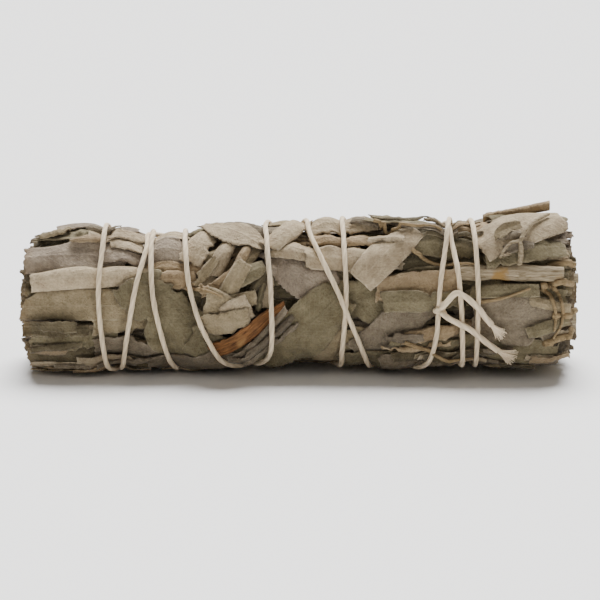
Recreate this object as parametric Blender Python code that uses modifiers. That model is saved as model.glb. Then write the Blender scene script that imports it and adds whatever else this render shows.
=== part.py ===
"""Dried sage bunch, wound with one cotton string and lying on its side.

The bunch lies along X, with its woody stem ends at +X. A place on it is given
by x along the bunch, an angle round it and a radius from its middle line. The
angle is 0 at the front, which faces -Y, and 90 degrees at the top. Lengths are
in millimetres until station() turns them to metres.
"""
import math
from dataclasses import dataclass

import bmesh
import bpy
import numpy as np

MM = 0.001
SEED = 2718

# The bunch: a slim cone pressed flat where it lies.
HALF_LENGTH = 75.0
RADIUS_MIDDLE = 19.9
TAPER = 1.3
FLAT_DEPTH = 0.9
END_DOME = 4.5

# Leafy stems: six round one in the middle, and the bed that their leaves make.
CORE_SHARE = 0.70
CORE_HALF = 70.0
CENTRE_RADIUS = 6.6
INNER_RADIUS = 7.0
SIDE_GAP = 0.15
ROOT_DEPTH = 0.9
FEET = ((-62.5, 18.0), (-1.5, 15.0), (61.0, 20.0))
FOOT_NEAR = 0.7
FOOT_DEPTH = 1.0
FOOT_EDGE = math.radians(33)
FOOT_SLOPE = math.radians(10)
BED_DEPTH = 2.7
BLADES_EACH = 6
BLADE_COLUMNS = 3
FLAT_BLADE_WIDTH = 14.5
ENDS_EACH = 4
END_RAGGED = (0.1, 1.8)
END_APART = 2.2
TRIES = 400

# Woody stems in the leafy stems: diameter and how far each stands out at +X.
WOODY_SIZES = ((3.4, 75.0), (4.6, 74.2), (2.6, 74.6), (3.8, 73.2), (2.4, 74.4), (4.2, 73.6), (3.0, 74.0))
WOODY_RING = 10.6
WOODY_START = -38.0
BORE_GAP = 0.3

# Leaves and string.
LEAF_THICK = 0.65
STEEPEST = 0.55
THICK_ON_SLOPE = 1.15
EDGE_MARGIN = 0.8
FINE = 10
LAYING_ROUNDS = 16
ROW_STEP = 4.2
WIDE_LEAF = 9.5
GAP = 0.3
STRING_RADIUS = 0.65
STRING_STEP = 4.0
FLOOR_CLEAR = 0.15
FLOOR_BLOCK = (0.2, 0.08, 0.02)
TAIL_RADIUS = 0.72
PINCH_SIDE = 1.7
PINCH_FLOOR = 2.3
PINCH_MOST_SIDE = 2.4
PINCH_MOST_FLOOR = 3.9
PINCH_WIDTH = 3.2

# String route: where it crosses x at the top, the three eighths of the front and the bottom.
FRONT_ANGLES = (102.0, 57.0, 12.0, -33.0, -78.0)
PASSES = {
    "knot_down": (37.0, 35.6, 28.5),
    "s7": (12.4, 12.0, 12.6, 11.6, 10.4),
    "s5": (-8.0, -8.4, -7.3, -7.6, -13.4),
    "s2": (-39.3, -40.5, -43.6, -46.2, -48.0),
    "s1": (-51.1, -52.0, -52.9, -51.4, -48.0),
    "s3": (-39.2, -39.2, -38.4, -34.8, -31.8),
    "s4": (-30.4, -30.1, -28.2, -21.7, -13.4),
    "s6": (1.2, 3.7, 10.7, 16.9, 20.1),
    "s8": (38.2, 40.4, 42.7, 43.4, 43.0),
    "s10": (45.3, 46.5, 47.4, 47.1, 46.9),
    "knot_up": (41.2, 39.4, 37.6, 37.0),
}
KNOT_DOWN_ANGLES = (-4.0, -27.0, -78.0)
KNOT_UP_ANGLES = (102.0, 57.0, 24.0, 4.0)
BACK_ANGLE = -168.0
KNOT_X = 37.3
KNOT_SIZE = (1.7, 1.2, 1.9)
KNOT_RISE = 0.3
UPPER_TAIL = ((37.6, 1.0), (39.8, 8.0), (41.6, 11.8), (43.2, 10.4), (45.6, 5.6), (47.7, 0.2), (49.3, -5.4),
              (51.0, -10.2), (54.2, -19.6))
LOWER_TAIL = ((37.6, -2.0), (40.1, -5.8), (42.8, -9.8), (45.3, -13.0), (47.7, -17.2), (50.4, -21.2),
              (52.6, -24.6), (58.2, -26.6))
FRAY = (1.0, 1.7)

# Thick stem on the outside, its forked twig, and the rolled leaf on top.
OUTER_STEM = ((41.0, 28.0), (56.0, 27.0), (71.5, 25.6))
OUTER_STEM_RADIUS = 2.2
GROOVE_DEPTH = 1.9
GROOVE_WIDTH = 4.5
TWIG_TRUNK = ((58.0, 29.0), (58.6, 36.0), (58.4, 44.0))
TWIG_LONG = ((58.4, 44.0), (61.6, 58.0), (66.6, 72.0))
TWIG_SHORT = ((58.4, 44.0), (55.6, 42.0), (53.0, 34.0))
TWIG_RADIUS = 0.75
ROLL_PATH = ((49.5, 90.0), (56.0, 90.5), (62.0, 90.5), (67.4, 90.0))
ROLL_RADIUS = 1.5
ROLL_RISE = (0.0, 0.3, 1.1, 2.2)


@dataclass(frozen=True)
class Finish:
    """Colour, roughness and metallic value of a piece."""

    name: str
    colour: tuple
    roughness: float = 0.9


PALE = Finish("pale leaf", (0.50, 0.46, 0.38))
GREY = Finish("grey leaf", (0.37, 0.32, 0.27))
OLIVE = Finish("olive leaf", (0.27, 0.24, 0.16))
WOOD = Finish("woody stem", (0.45, 0.37, 0.26))
BARK = Finish("bark", (0.34, 0.16, 0.07))
COTTON = Finish("cotton", (0.76, 0.70, 0.61))


@dataclass
class Leaf:
    """A loose outer leaf: its middle, size, heading, how much it is rolled, and its finish."""

    x: float
    angle: float
    length: float
    width: float
    heading: float = 0.0
    curl: float = 0.3
    tip: float = 0.35
    butt: float = 0.8
    finish: Finish = GREY


@dataclass
class Blade:
    """A blade of a leafy stem: its middle, size, which way it grew and how deep it lies."""

    x: float
    angle: float
    length: float
    width: float
    root_side: int
    drop: float
    edge_drop: float = 0.5
    reach_a: float = 0.12


# Outer leaves in the order in which they lie, lowest first. Angles as the bunch lies.
FRONT_LEAVES = (
    Leaf(-61.5, -50, 19, 9, 0, 0.3, 0.6, 0.8, GREY),
    Leaf(-61.0, -18, 23, 8, 0, 0.3, 0.7, 0.9, OLIVE),
    Leaf(-58.5, 51, 24, 9.5, 0, 0.4, 0.6, 0.8, GREY),
    Leaf(-58.0, 78, 17, 8, -6, 0.3, 0.5, 0.8, OLIVE),
    Leaf(-44.5, -34, 18, 9, 0, 0.3, 0.7, 0.8, GREY),
    Leaf(-45.5, -5.5, 14, 9, 0, 0.2, 0.6, 0.8, OLIVE),
    Leaf(-43.8, 54, 15, 8, 0, 0.4, 0.6, 0.8, GREY),
    Leaf(-34.2, 54, 13, 9, 0, 0.4, 0.6, 0.7, GREY),
    Leaf(-59.0, 6, 28, 9.0, 0, 0.2, 0.6, 0.9, OLIVE),
    Leaf(-56.0, 29.5, 31, 7, 3, 1.0, 0.25, 0.9, PALE),
    Leaf(-33.4, 27, 12, 6, 0, 1.0, 0.6, 0.8, GREY),
    Leaf(-34.2, -5.5, 28, 15, -49, 0.2, 0.35, 0.7, OLIVE),
    Leaf(1.8, 29.5, 26, 13, -40, 0.2, 0.25, 0.7, GREY),
    Leaf(5.8, 48, 24, 6, -15, 0.5, 0.4, 0.8, PALE),
    Leaf(14.5, 64, 24, 6, 0, 0.5, 0.5, 0.7, GREY),
    Leaf(12.6, 80, 20, 6, 0, 0.4, 0.5, 0.7, PALE),
    Leaf(9.9, -38, 14, 10, 80, 0.2, 0.5, 0.8, PALE),
    Leaf(19.9, 5, 18, 11, -10, 0.3, 0.4, 0.7, OLIVE),
    Leaf(0.4, -20, 31, 14, 46, 0.3, 0.3, 0.6, OLIVE),
    Leaf(25.3, -15, 26, 10, 43, 0.2, 0.6, 0.7, OLIVE),
    Leaf(34.2, -44, 24, 8, 0, 0.4, 0.4, 0.7, GREY),
    Leaf(28.0, 15, 16, 8, 6, 0.4, 0.4, 0.8, PALE),
    Leaf(23.4, 44, 20, 8.5, 47, 0.8, 0.6, 0.8, PALE),
    Leaf(28.8, 88, 18, 6, 0, 0.5, 0.5, 0.7, GREY),
    Leaf(58.5, -46, 22, 9, -10, 0.3, 0.5, 0.8, GREY),
    Leaf(58.5, -10, 22, 13, 0, 0.2, 0.5, 0.6, OLIVE),
    Leaf(54.5, 12.5, 16, 3.2, 0, 0.3, 0.5, 0.8, OLIVE),
    Leaf(58.8, 63, 22, 11, 22, 0.3, 0.6, 0.7, PALE),
    Leaf(-26.6, 60, 13, 8, 70, 0.6, 0.5, 0.8, PALE),
    Leaf(-20.0, 34, 13, 6.5, 62, 0.7, 0.5, 0.6, PALE),
    Leaf(-21.0, 4, 9, 8, -20, 0.2, 0.8, 0.8, OLIVE),
    Leaf(-17.2, 70, 20, 9, -33, 0.3, 0.3, 0.6, PALE),
    Leaf(-1.0, 79, 12, 5.5, 50, 0.2, 0.4, 0.7, PALE),
)
BARK_STRIP = Leaf(-12.4, -13, 21, 5, 33, 0.4, 0.4, 0.5, BARK)
BACK_ROWS = ((116.0, 3), (164.0, 3), (211.0, 2))
BACK_LENGTH = (34.0, 42.0)
BACK_WIDTH = (11.0, 13.5)


def envelope(x):
    """Radius of the round bunch at x: it grows evenly towards the stem end."""
    return RADIUS_MIDDLE + TAPER * x / HALF_LENGTH


def axis_height(x):
    """Height of the middle line: the bunch sinks by FLAT_DEPTH where it lies."""
    return envelope(x) - FLAT_DEPTH


def floor_limit(x, angle):
    """Radius at which a place below the middle line meets the surface the bunch lies on."""
    down = np.clip(-np.sin(angle), 0.2, 1.0)
    return axis_height(x) / down


def station(x, angle, radius):
    """Points in metres for x, angle (radians) and radius (millimetres)."""
    x, angle, radius = np.broadcast_arrays(x, angle, radius)
    y = -radius * np.cos(angle)
    z = axis_height(x) + radius * np.sin(angle)
    return np.stack([x, y, z], axis=-1) * MM


def spline(knots, positions):
    """Smooth curve through knots with even spacing, read at positions in knot units."""
    points = np.array(knots, dtype=float)
    before = 2 * points[0] - points[1]
    after = 2 * points[-1] - points[-2]
    points = np.vstack([before, points, after])
    index = np.clip(positions.astype(int), 0, len(knots) - 2)
    t = (positions - index)[:, None]
    p0, p1, p2, p3 = (points[index + k] for k in range(4))
    return 0.5 * (2 * p1 + (p2 - p0) * t + (2 * p0 - 5 * p1 + 4 * p2 - p3) * t ** 2
                  + (3 * p1 - p0 - 3 * p2 + p3) * t ** 3)


def string_knots():
    """The winding as (x, angle) knots: each pass runs down the front, then up the back."""
    knots = []
    turn = 0.0
    for name, places in PASSES.items():
        angles = FRONT_ANGLES
        if name == "knot_down":
            angles = KNOT_DOWN_ANGLES
        if name == "knot_up":
            angles = KNOT_UP_ANGLES
        if knots:
            back_x = 0.5 * (knots[-1][0] + places[0])
            knots.append((back_x, BACK_ANGLE + turn))
            turn -= 360.0
        knots += [(x, angle + turn) for x, angle in zip(places, angles)]
    return np.array(knots)


def string_route():
    """The winding as x and angle (radians), with a point every STRING_STEP or so."""
    knots = string_knots()
    fine = spline(knots, np.linspace(0, len(knots) - 1.001, 4000))
    across = np.hypot(np.diff(fine[:, 0]), np.radians(np.diff(fine[:, 1])) * RADIUS_MIDDLE)
    length = np.concatenate([[0.0], np.cumsum(across)])
    count = int(length[-1] / STRING_STEP) + 1
    even = np.linspace(0, length[-1], count)
    x = np.interp(even, length, fine[:, 0])
    angle = np.radians(np.interp(even, length, fine[:, 1]))
    return x, angle


class Pile:
    """Height of what is laid so far, as the radius of its top over x and the angle."""

    STEP_X = 0.5
    STEP_A = math.radians(1.5)
    REACH = 80.0

    def __init__(self, route):
        self.x = np.arange(-self.REACH, self.REACH + self.STEP_X, self.STEP_X)
        self.a = np.arange(0, 240) * self.STEP_A
        self.grid_x, self.grid_a = np.meshgrid(self.x, self.a, indexing="ij")
        self.height = self.bed(route)

    def bed(self, route):
        """Top of the leafy stems: pressed in along the string and flat underneath."""
        below = np.abs(wrap(self.grid_a + math.pi / 2))
        flat = np.clip((FOOT_EDGE - below) / FOOT_SLOPE, 0, 1)
        flat = flat * flat * (3 - 2 * flat)
        pinch = np.zeros_like(self.grid_x)
        strength = PINCH_SIDE + (PINCH_FLOOR - PINCH_SIDE) * flat
        for turn_x, turn_a in turns(route):
            across = np.full_like(self.grid_x, np.inf)
            for x, angle in zip(turn_x, turn_a):
                away = (self.grid_x - x) ** 2 + (wrap(self.grid_a - angle) * RADIUS_MIDDLE) ** 2
                across = np.minimum(across, away)
            pinch += strength * np.exp(-across / PINCH_WIDTH ** 2)
        stem_x, stem_a = (np.array(v) for v in zip(*OUTER_STEM))
        path = np.interp(self.grid_x, stem_x, stem_a)
        off = wrap(self.grid_a - np.radians(path)) * RADIUS_MIDDLE
        along = self.grid_x > stem_x[0] - OUTER_STEM_RADIUS
        groove = GROOVE_DEPTH * np.exp(-(off / GROOVE_WIDTH) ** 2) * along
        top = np.minimum(envelope(self.grid_x) - BED_DEPTH * (1 - flat) - groove,
                         floor_limit(self.grid_x, self.grid_a))
        most = PINCH_MOST_SIDE + (PINCH_MOST_FLOOR - PINCH_MOST_SIDE) * flat
        return top - np.minimum(pinch, most)

    def window(self, x, angle, reach_x, reach_a):
        """Part of the grid within reach_x and reach_a of a place."""
        i0 = max(int((x - reach_x + self.REACH) / self.STEP_X), 0)
        i1 = min(int((x + reach_x + self.REACH) / self.STEP_X) + 2, len(self.x))
        j0 = int(math.floor((angle - reach_a) / self.STEP_A))
        j1 = int(math.ceil((angle + reach_a) / self.STEP_A)) + 1
        return np.ix_(range(i0, i1), [j % len(self.a) for j in range(j0, j1)])

    def highest(self, x, angle, reach_x, reach_a):
        """Highest pile near a place."""
        return float(self.height[self.window(x, angle, reach_x, reach_a)].max())

    def lowest(self, x, angle, reach_x, reach_a):
        """Lowest pile near a place."""
        return float(self.height[self.window(x, angle, reach_x, reach_a)].min())

    def at(self, x, angle):
        """Pile at each place given: the highest of the grid points round it."""
        i = np.clip((x + self.REACH) / self.STEP_X, 0, len(self.x) - 2)
        j = angle / self.STEP_A
        count = len(self.a)
        i0, j0 = np.floor(i).astype(int), np.floor(j).astype(int)
        corners = [self.height[i0 + di, (j0 + dj) % count] for di in (0, 1) for dj in (0, 1)]
        return np.max(corners, axis=0)

    def lift(self, x, angle, top, past):
        """Raise the pile to top at each place given, and out to past round it."""
        count = len(self.a)
        i = np.round((x + self.REACH) / self.STEP_X).astype(int)
        j = np.round(angle / self.STEP_A).astype(int)
        reach = int(past / self.STEP_X) + 1
        for di in range(-reach, reach + 1):
            for dj in range(-reach, reach + 1):
                if math.hypot(di, dj) * self.STEP_X <= past:
                    rows = np.clip(i + di, 0, len(self.x) - 1)
                    np.maximum.at(self.height, (rows, (j + dj) % count), top)


def wrap(angle):
    """Angle brought between -pi and pi."""
    return (angle + math.pi) % (2 * math.pi) - math.pi


def turns(route):
    """The route cut at the back into its turns, each with its steps cut in four."""
    x, angle = route
    fine = np.linspace(0, len(x) - 1, 4 * len(x))
    steps = np.arange(len(x))
    fine_x, fine_a = np.interp(fine, steps, x), np.interp(fine, steps, angle)
    number = np.floor((fine_a - math.radians(BACK_ANGLE)) / (2 * math.pi)).astype(int)
    return [(fine_x[number == k], fine_a[number == k]) for k in np.unique(number)]


def add_mesh(name, points, faces, collection):
    """New object with a mesh of the points and faces given."""
    mesh = bpy.data.meshes.new(name)
    mesh.from_pydata([tuple(p) for p in points], [], faces)
    mesh.update()
    obj = bpy.data.objects.new(name, mesh)
    collection.objects.link(obj)
    return obj


def paint(obj, finish):
    """Give an object a material of its own."""
    material = bpy.data.materials.new(obj.name + " " + finish.name)
    material.use_nodes = True
    shader = material.node_tree.nodes["Principled BSDF"]
    shader.inputs["Base Color"].default_value = (*finish.colour, 1)
    shader.inputs["Roughness"].default_value = finish.roughness
    shader.inputs["Metallic"].default_value = 0.0
    obj.data.materials.clear()
    obj.data.materials.append(material)


def sheet_faces(rows, columns):
    """Triangles of a grid of points, facing away from the bunch's middle line."""
    faces = []
    for i in range(rows - 1):
        for j in range(columns - 1):
            a = i * columns + j
            b = a + columns
            faces += [(a, b, b + 1), (a, b + 1, a + 1)]
    return faces


def thicken(obj, thickness, offset):
    """Solidify an open sheet: offset 1 grows it outwards, -1 inwards."""
    solidify = obj.modifiers.new("thickness", "SOLIDIFY")
    solidify.thickness = thickness * MM
    solidify.offset = offset


def freeze(obj):
    """Apply an object's modifiers and placement to its mesh."""
    bpy.context.view_layer.update()
    graph = bpy.context.evaluated_depsgraph_get()
    mesh = bpy.data.meshes.new_from_object(obj.evaluated_get(graph))
    mesh.transform(obj.matrix_world)
    if obj.type == "CURVE":
        bm = bmesh.new()
        bm.from_mesh(mesh)
        bmesh.ops.remove_doubles(bm, verts=bm.verts, dist=0.000001)
        bmesh.ops.recalc_face_normals(bm, faces=bm.faces)
        bm.to_mesh(mesh)
        bm.free()
        name = obj.name
        homes = list(obj.users_collection)
        bpy.data.objects.remove(obj)
        obj = bpy.data.objects.new(name, mesh)
        for home in homes:
            home.objects.link(obj)
        return obj
    obj.modifiers.clear()
    obj.data = mesh
    obj.matrix_world.identity()
    return obj


def unite(obj, group):
    """Fuse every object of a collection to obj, and remove the collection."""
    union = obj.modifiers.new("union", "BOOLEAN")
    union.operation = "UNION"
    union.operand_type = "COLLECTION"
    union.collection = group
    union.solver = "MANIFOLD"
    freeze(obj)
    for extra in list(group.objects):
        bpy.data.objects.remove(extra)
    bpy.data.collections.remove(group)


def cut(obj, cutter):
    """Cut a closed cutter out of obj, and remove the cutter."""
    difference = obj.modifiers.new("cut", "BOOLEAN")
    difference.operation = "DIFFERENCE"
    difference.object = cutter
    difference.solver = "MANIFOLD"
    freeze(obj)
    bpy.data.objects.remove(cutter)


def keep_largest(obj):
    """Drop loose scraps and fill sealed hollows: only the largest island stays."""
    bm = bmesh.new()
    bm.from_mesh(obj.data)
    bmesh.ops.triangulate(bm, faces=bm.faces)
    islands = []
    seen = set()
    for face in bm.faces:
        if face in seen:
            continue
        stack = [face]
        seen.add(face)
        island = []
        while stack:
            current = stack.pop()
            island.append(current)
            for edge in current.edges:
                for other in edge.link_faces:
                    if other not in seen:
                        seen.add(other)
                        stack.append(other)
        islands.append(island)
    islands.sort(key=len)
    for island in islands[:-1]:
        bmesh.ops.delete(bm, geom=island, context="FACES")
    loose = [v for v in bm.verts if not v.link_faces]
    bmesh.ops.delete(bm, geom=loose, context="VERTS")
    bm.to_mesh(obj.data)
    bm.free()


def add_tube(name, points, radii, collection, sides_level=1):
    """Round tube through points in metres, with a radius in millimetres at each, as a mesh."""
    curve = bpy.data.curves.new(name, "CURVE")
    curve.dimensions = "3D"
    curve.bevel_depth = MM
    curve.bevel_resolution = sides_level
    curve.use_fill_caps = True
    line = curve.splines.new("POLY")
    line.points.add(len(points) - 1)
    for target, point, radius in zip(line.points, points, radii):
        target.co = (*point, 1)
        target.radius = radius
    obj = bpy.data.objects.new(name, curve)
    collection.objects.link(obj)
    return freeze(obj)


def add_cylinder(name, start, end, radius, sides, collection):
    """Cylinder along X from start to end, both points in metres."""
    bm = bmesh.new()
    length = end[0] - start[0]
    bmesh.ops.create_cone(bm, cap_ends=True, cap_tris=False, segments=sides, radius1=radius * MM,
                          radius2=radius * MM, depth=length)
    mesh = bpy.data.meshes.new(name)
    bm.to_mesh(mesh)
    bm.free()
    obj = bpy.data.objects.new(name, mesh)
    obj.location = [(s + e) / 2 for s, e in zip(start, end)]
    obj.rotation_euler = (0, math.pi / 2 + math.atan2(start[2] - end[2], length), 0)
    collection.objects.link(obj)
    return freeze(obj)


def new_group(name):
    """Working collection for pieces that are about to be fused or cut."""
    group = bpy.data.collections.new(name)
    bpy.context.scene.collection.children.link(group)
    return group


def outline(u, leaf):
    """Half of a leaf's width at u along it, from its butt at 0 to its tip at 1."""
    belly = np.sin(np.pi * np.clip(0.12 + 0.76 * u, 0, 1)) ** 0.6
    ends = leaf.butt + (leaf.tip - leaf.butt) * u
    return 0.5 * leaf.width * (ends + (1 - ends) * belly)


def leaf_sheet(name, leaf, pile, rng, collection):
    """Loose leaf laid on the pile: it bends over what is under it and lifts the pile."""
    rows = max(4, round(leaf.length / ROW_STEP) + 1)
    columns = 3 if leaf.width < WIDE_LEAF else 4
    u = np.linspace(0, 1, rows)
    v = np.linspace(-1, 1, columns)
    ragged = 1 + rng.uniform(-0.1, 0.1, (rows, 2))
    half = outline(u, leaf)
    heading = math.radians(leaf.heading)
    slant = rng.uniform(-0.12, 0.12, 2) * leaf.width
    x = np.empty((rows, columns))
    angle = np.empty((rows, columns))
    for j, across_share in enumerate(v):
        side = ragged[:, 0] if across_share < 0 else ragged[:, 1]
        across = across_share * half * side
        along = (u - 0.5) * leaf.length + across_share * (slant[0] * (1 - u) + slant[1] * u)
        x[:, j] = leaf.x + along * math.cos(heading) - across * math.sin(heading)
        rise = along * math.sin(heading) + across * math.cos(heading)
        angle[:, j] = math.radians(leaf.angle) + rise / RADIUS_MIDDLE
    rise = leaf.curl * (1 - v[None, :] ** 2) * np.ones((rows, 1))
    base = drape(pile, x, angle, rise)
    obj = add_mesh(name, station(x, angle, base).reshape(-1, 3), sheet_faces(rows, columns), collection)
    thicken(obj, LEAF_THICK, 1.0)
    fine_x, fine_a, fine_r = read_between(x, angle, base)
    pile.lift(fine_x, fine_a, fine_r + LEAF_THICK * THICK_ON_SLOPE, EDGE_MARGIN)
    paint(obj, leaf.finish)
    return obj


def weights(count):
    """Share of each grid line at FINE places from one line to the next."""
    places = np.linspace(0, count - 1, (count - 1) * FINE + 1)
    return np.clip(1 - np.abs(places[:, None] - np.arange(count)[None, :]), 0, 1)


def read_between(x, angle, radius):
    """Places all over a faceted sheet, read straight between its grid points."""
    along, across = (weights(count) for count in x.shape)
    y, z = radius * np.cos(angle), radius * np.sin(angle)
    middle = float(angle.mean())
    fine_x, fine_y, fine_z = (along @ grid @ across.T for grid in (x, y, z))
    fine_a = middle + wrap(np.arctan2(fine_z, fine_y) - middle)
    return fine_x, fine_a, np.hypot(fine_y, fine_z)


def drape(pile, x, angle, rise):
    """Radius at each grid point so that the sheet lies on the pile and GAP clear of it."""
    radius = pile.at(x, angle) + GAP + rise
    along, across = (weights(count) for count in x.shape)
    shares = np.einsum("fi,gj->fgij", along, across)
    total = (shares ** 2).sum(axis=(2, 3))
    for _ in range(LAYING_ROUNDS):
        radius = no_steeper(x, angle, radius)
        fine_x, fine_a, fine_r = read_between(x, angle, radius)
        short = np.maximum(pile.at(fine_x, fine_a) + GAP - fine_r, 0)
        radius = radius + (shares * (short / total)[:, :, None, None]).max(axis=(0, 1))
    fine_x, fine_a, fine_r = read_between(x, angle, radius)
    short = pile.at(fine_x, fine_a) + GAP - fine_r
    return radius + max(float(short.max()), 0.0)


def no_steeper(x, angle, radius):
    """Lift the low ends of grid edges that would be steeper than STEEPEST."""
    radius = radius.copy()
    for axis in (0, 1):
        grid, gx, ga = (np.moveaxis(values, axis, 0) for values in (radius, x, angle))
        for k in range(len(grid) - 1):
            run = np.hypot(gx[k + 1] - gx[k], (ga[k + 1] - ga[k]) * RADIUS_MIDDLE) * STEEPEST
            grid[k + 1] = np.maximum(grid[k + 1], grid[k] - run)
        for k in range(len(grid) - 1, 0, -1):
            run = np.hypot(gx[k] - gx[k - 1], (ga[k] - ga[k - 1]) * RADIUS_MIDDLE) * STEEPEST
            grid[k - 1] = np.maximum(grid[k - 1], grid[k] - run)
    return radius


def bed_blade(name, blade, pile, rng, collection):
    """Blade of a leafy stem: its root is deep in the core and its outer face follows the bed."""
    rows = max(4, round(blade.length / ROW_STEP) + 1)
    u = np.linspace(0, 1, rows)
    v = np.linspace(-1, 1, BLADE_COLUMNS)
    share = np.sin(np.pi * (0.16 + 0.7 * u)) ** 0.5
    half = 0.5 * blade.width * share * (1 + rng.uniform(-0.08, 0.08, rows))
    tilt = rng.uniform(-0.5, 0.5)
    x = blade.x + blade.root_side * (u[:, None] - 0.5) * blade.length + tilt * v[None, :]
    angle = blade.angle + v[None, :] * half[:, None] / RADIUS_MIDDLE
    reach_x = blade.length / (rows - 1) / 2 + 0.3
    top = np.array([[pile.lowest(px, pa, reach_x, blade.reach_a) for px, pa in zip(*row)]
                    for row in zip(x, angle)])
    meets_floor = top > floor_limit(x, angle) - FOOT_NEAR
    top += np.where(meets_floor, FOOT_DEPTH, 0) - blade.drop - blade.edge_drop * v[None, :] ** 2
    root = CORE_SHARE * envelope(x) - ROOT_DEPTH
    rise = np.clip(u / 0.35, 0, 1)[:, None]
    top = root + (np.maximum(top, root) - root) * rise
    faces = sheet_faces(rows, len(v))
    if blade.root_side < 0:
        faces = [tuple(reversed(face)) for face in faces]
    obj = add_mesh(name, station(x, angle, top).reshape(-1, 3), faces, collection)
    thicken(obj, LEAF_THICK, -1.0)
    return freeze(obj)


def leaf_end(name, x_in, x_out, angle, radius, roll, start, sweep, collection):
    """Cut end of a rolled leaf, standing out of an end of the bunch."""
    turn = np.linspace(start, start + sweep, 5)
    y = -radius * math.cos(angle) + roll * np.cos(turn)
    z = radius * math.sin(angle) + roll * np.sin(turn)
    points = []
    for x in (x_in, x_out):
        points += [(x * MM, py * MM, (pz + axis_height(x)) * MM) for py, pz in zip(y, z)]
    obj = add_mesh(name, points, sheet_faces(2, len(turn)), collection)
    thicken(obj, LEAF_THICK, 0.0)
    return freeze(obj)


def ring_points(x, inner, outer, middle, half_angle):
    """Outline of a slice of the bunch at x, kept SIDE_GAP from its two sides."""
    points = []
    for k in range(5):
        edge = half_angle - SIDE_GAP / outer
        points.append((middle - edge + 2 * edge * k / 4, outer))
    for k in range(3):
        edge = half_angle - SIDE_GAP / inner
        points.append((middle + edge - edge * k, inner))
    return [tuple(station(x, angle, radius)) for angle, radius in points]


def slice_core(name, middle, half_angle, collection):
    """Core of an outer leafy stem: a slice of a tapered ring, closed at both ends."""
    stations = []
    for x in (-CORE_HALF, CORE_HALF):
        stations.append(ring_points(x, INNER_RADIUS, CORE_SHARE * envelope(x), middle, half_angle))
    count = len(stations[0])
    faces = [tuple(range(count)), tuple(range(2 * count - 1, count - 1, -1))]
    for k in range(count):
        nxt = (k + 1) % count
        faces.append((k, k + count, nxt + count, nxt))
    obj = add_mesh(name, stations[0] + stations[1], faces, collection)
    bm = bmesh.new()
    bm.from_mesh(obj.data)
    bmesh.ops.recalc_face_normals(bm, faces=bm.faces)
    bmesh.ops.triangulate(bm, faces=bm.faces)
    bm.to_mesh(obj.data)
    bm.free()
    return obj


def add_leaf_ends(group, middle, half_angle, stem, rng):
    """Rolled leaf ends at both ends of a leafy stem, clear of its woody stem and its sides."""
    stem_angle, stem_ring, stem_radius = stem
    for side in (-1, 1):
        placed = []
        for _ in range(TRIES):
            if len(placed) == ENDS_EACH:
                break
            roll = rng.uniform(1.5, 2.6)
            start = rng.uniform(0, 2 * math.pi)
            sweep = math.radians(rng.uniform(150, 230))
            reach = roll + 0.7
            if half_angle > math.pi:
                radius = rng.uniform(0, CENTRE_RADIUS - reach)
                angle = rng.uniform(-math.pi, math.pi)
            else:
                radius = rng.uniform(INNER_RADIUS + reach, RADIUS_MIDDLE - BED_DEPTH - reach - 0.8)
                room = half_angle - (reach + SIDE_GAP) / radius
                if room <= 0:
                    continue
                angle = middle + rng.uniform(-room, room)
            spot = np.array([radius * math.cos(angle), radius * math.sin(angle)])
            woody = np.array([stem_ring * math.cos(stem_angle), stem_ring * math.sin(stem_angle)])
            if side > 0 and np.hypot(*(spot - woody)) < stem_radius + 0.9 + roll:
                continue
            if any(np.hypot(*(spot - other)) < END_APART for other in placed):
                continue
            placed.append(spot)
            dome = END_DOME * (radius / RADIUS_MIDDLE) ** 2
            x_out = side * (HALF_LENGTH - dome - rng.uniform(*END_RAGGED))
            x_in = side * (CORE_HALF - 3.0)
            leaf_end(f"end_{side}_{len(placed)}", x_in, x_out, angle, radius, roll, start, sweep, group)


def spread(rng, count, low, high):
    """Places spread evenly from low to high, each nudged by chance."""
    step = (high - low) / count
    return [low + step * (k + 0.5) + rng.uniform(-0.2, 0.2) * step for k in range(count)]


def leafy_stem(number, pile, rng, collection):
    """One leafy stem: a core, blades that stand out of it and its cut leaf ends, as one body."""
    name = f"leafy_stem_{number + 1}"
    stem_radius = WOODY_SIZES[number][0] / 2
    group = new_group("leaves of " + name)
    if number == 6:
        core = add_cylinder(name, station(-CORE_HALF, 0.0, 0.0), station(CORE_HALF, 0.0, 0.0),
                            CENTRE_RADIUS, 16, collection)
        add_leaf_ends(group, 0.0, 4.0, (0.0, 0.0, stem_radius), rng)
    else:
        middle = math.radians(-90 + 60 * number)
        half_angle = math.radians(30)
        core = slice_core(name, middle, half_angle, collection)
        add_leaf_ends(group, middle, half_angle, (middle, WOODY_RING, stem_radius), rng)
        if number == 0:
            add_floor_blades(group, pile, rng)
        add_bed_blades(group, pile, middle, half_angle, number == 0, rng)
    unite(core, group)
    cut(core, bore_for(number, stem_radius + BORE_GAP, WOODY_START - 2.0, HALF_LENGTH + 10.0, 16))
    keep_largest(core)
    paint(core, (OLIVE, GREY, PALE)[number % 3])
    return core


def add_bed_blades(group, pile, middle, half_angle, underneath, rng):
    """Blades of a leafy stem all along it, in three depths like tiles."""
    for k, x in enumerate(spread(rng, BLADES_EACH, -66.0, 66.0)):
        width = rng.uniform(9.0, 11.0)
        room = half_angle - (0.54 * width + SIDE_GAP + 0.15) / (CORE_SHARE * (RADIUS_MIDDLE - TAPER))
        drop = 0.25 + 0.7 * (k % 3)
        if underneath:
            width, room, drop = 7.0, 0.04, 1.4
        angle = middle + rng.uniform(-1, 1) * max(room, 0.0)
        length = rng.uniform(26.0, 32.0)
        x = min(max(x, length / 2 - 72.0), 72.0 - length / 2)
        blade = Blade(x, angle, length, width, -1 if k % 2 else 1, drop)
        bed_blade(f"blade_{k}", blade, pile, rng, group)


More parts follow.
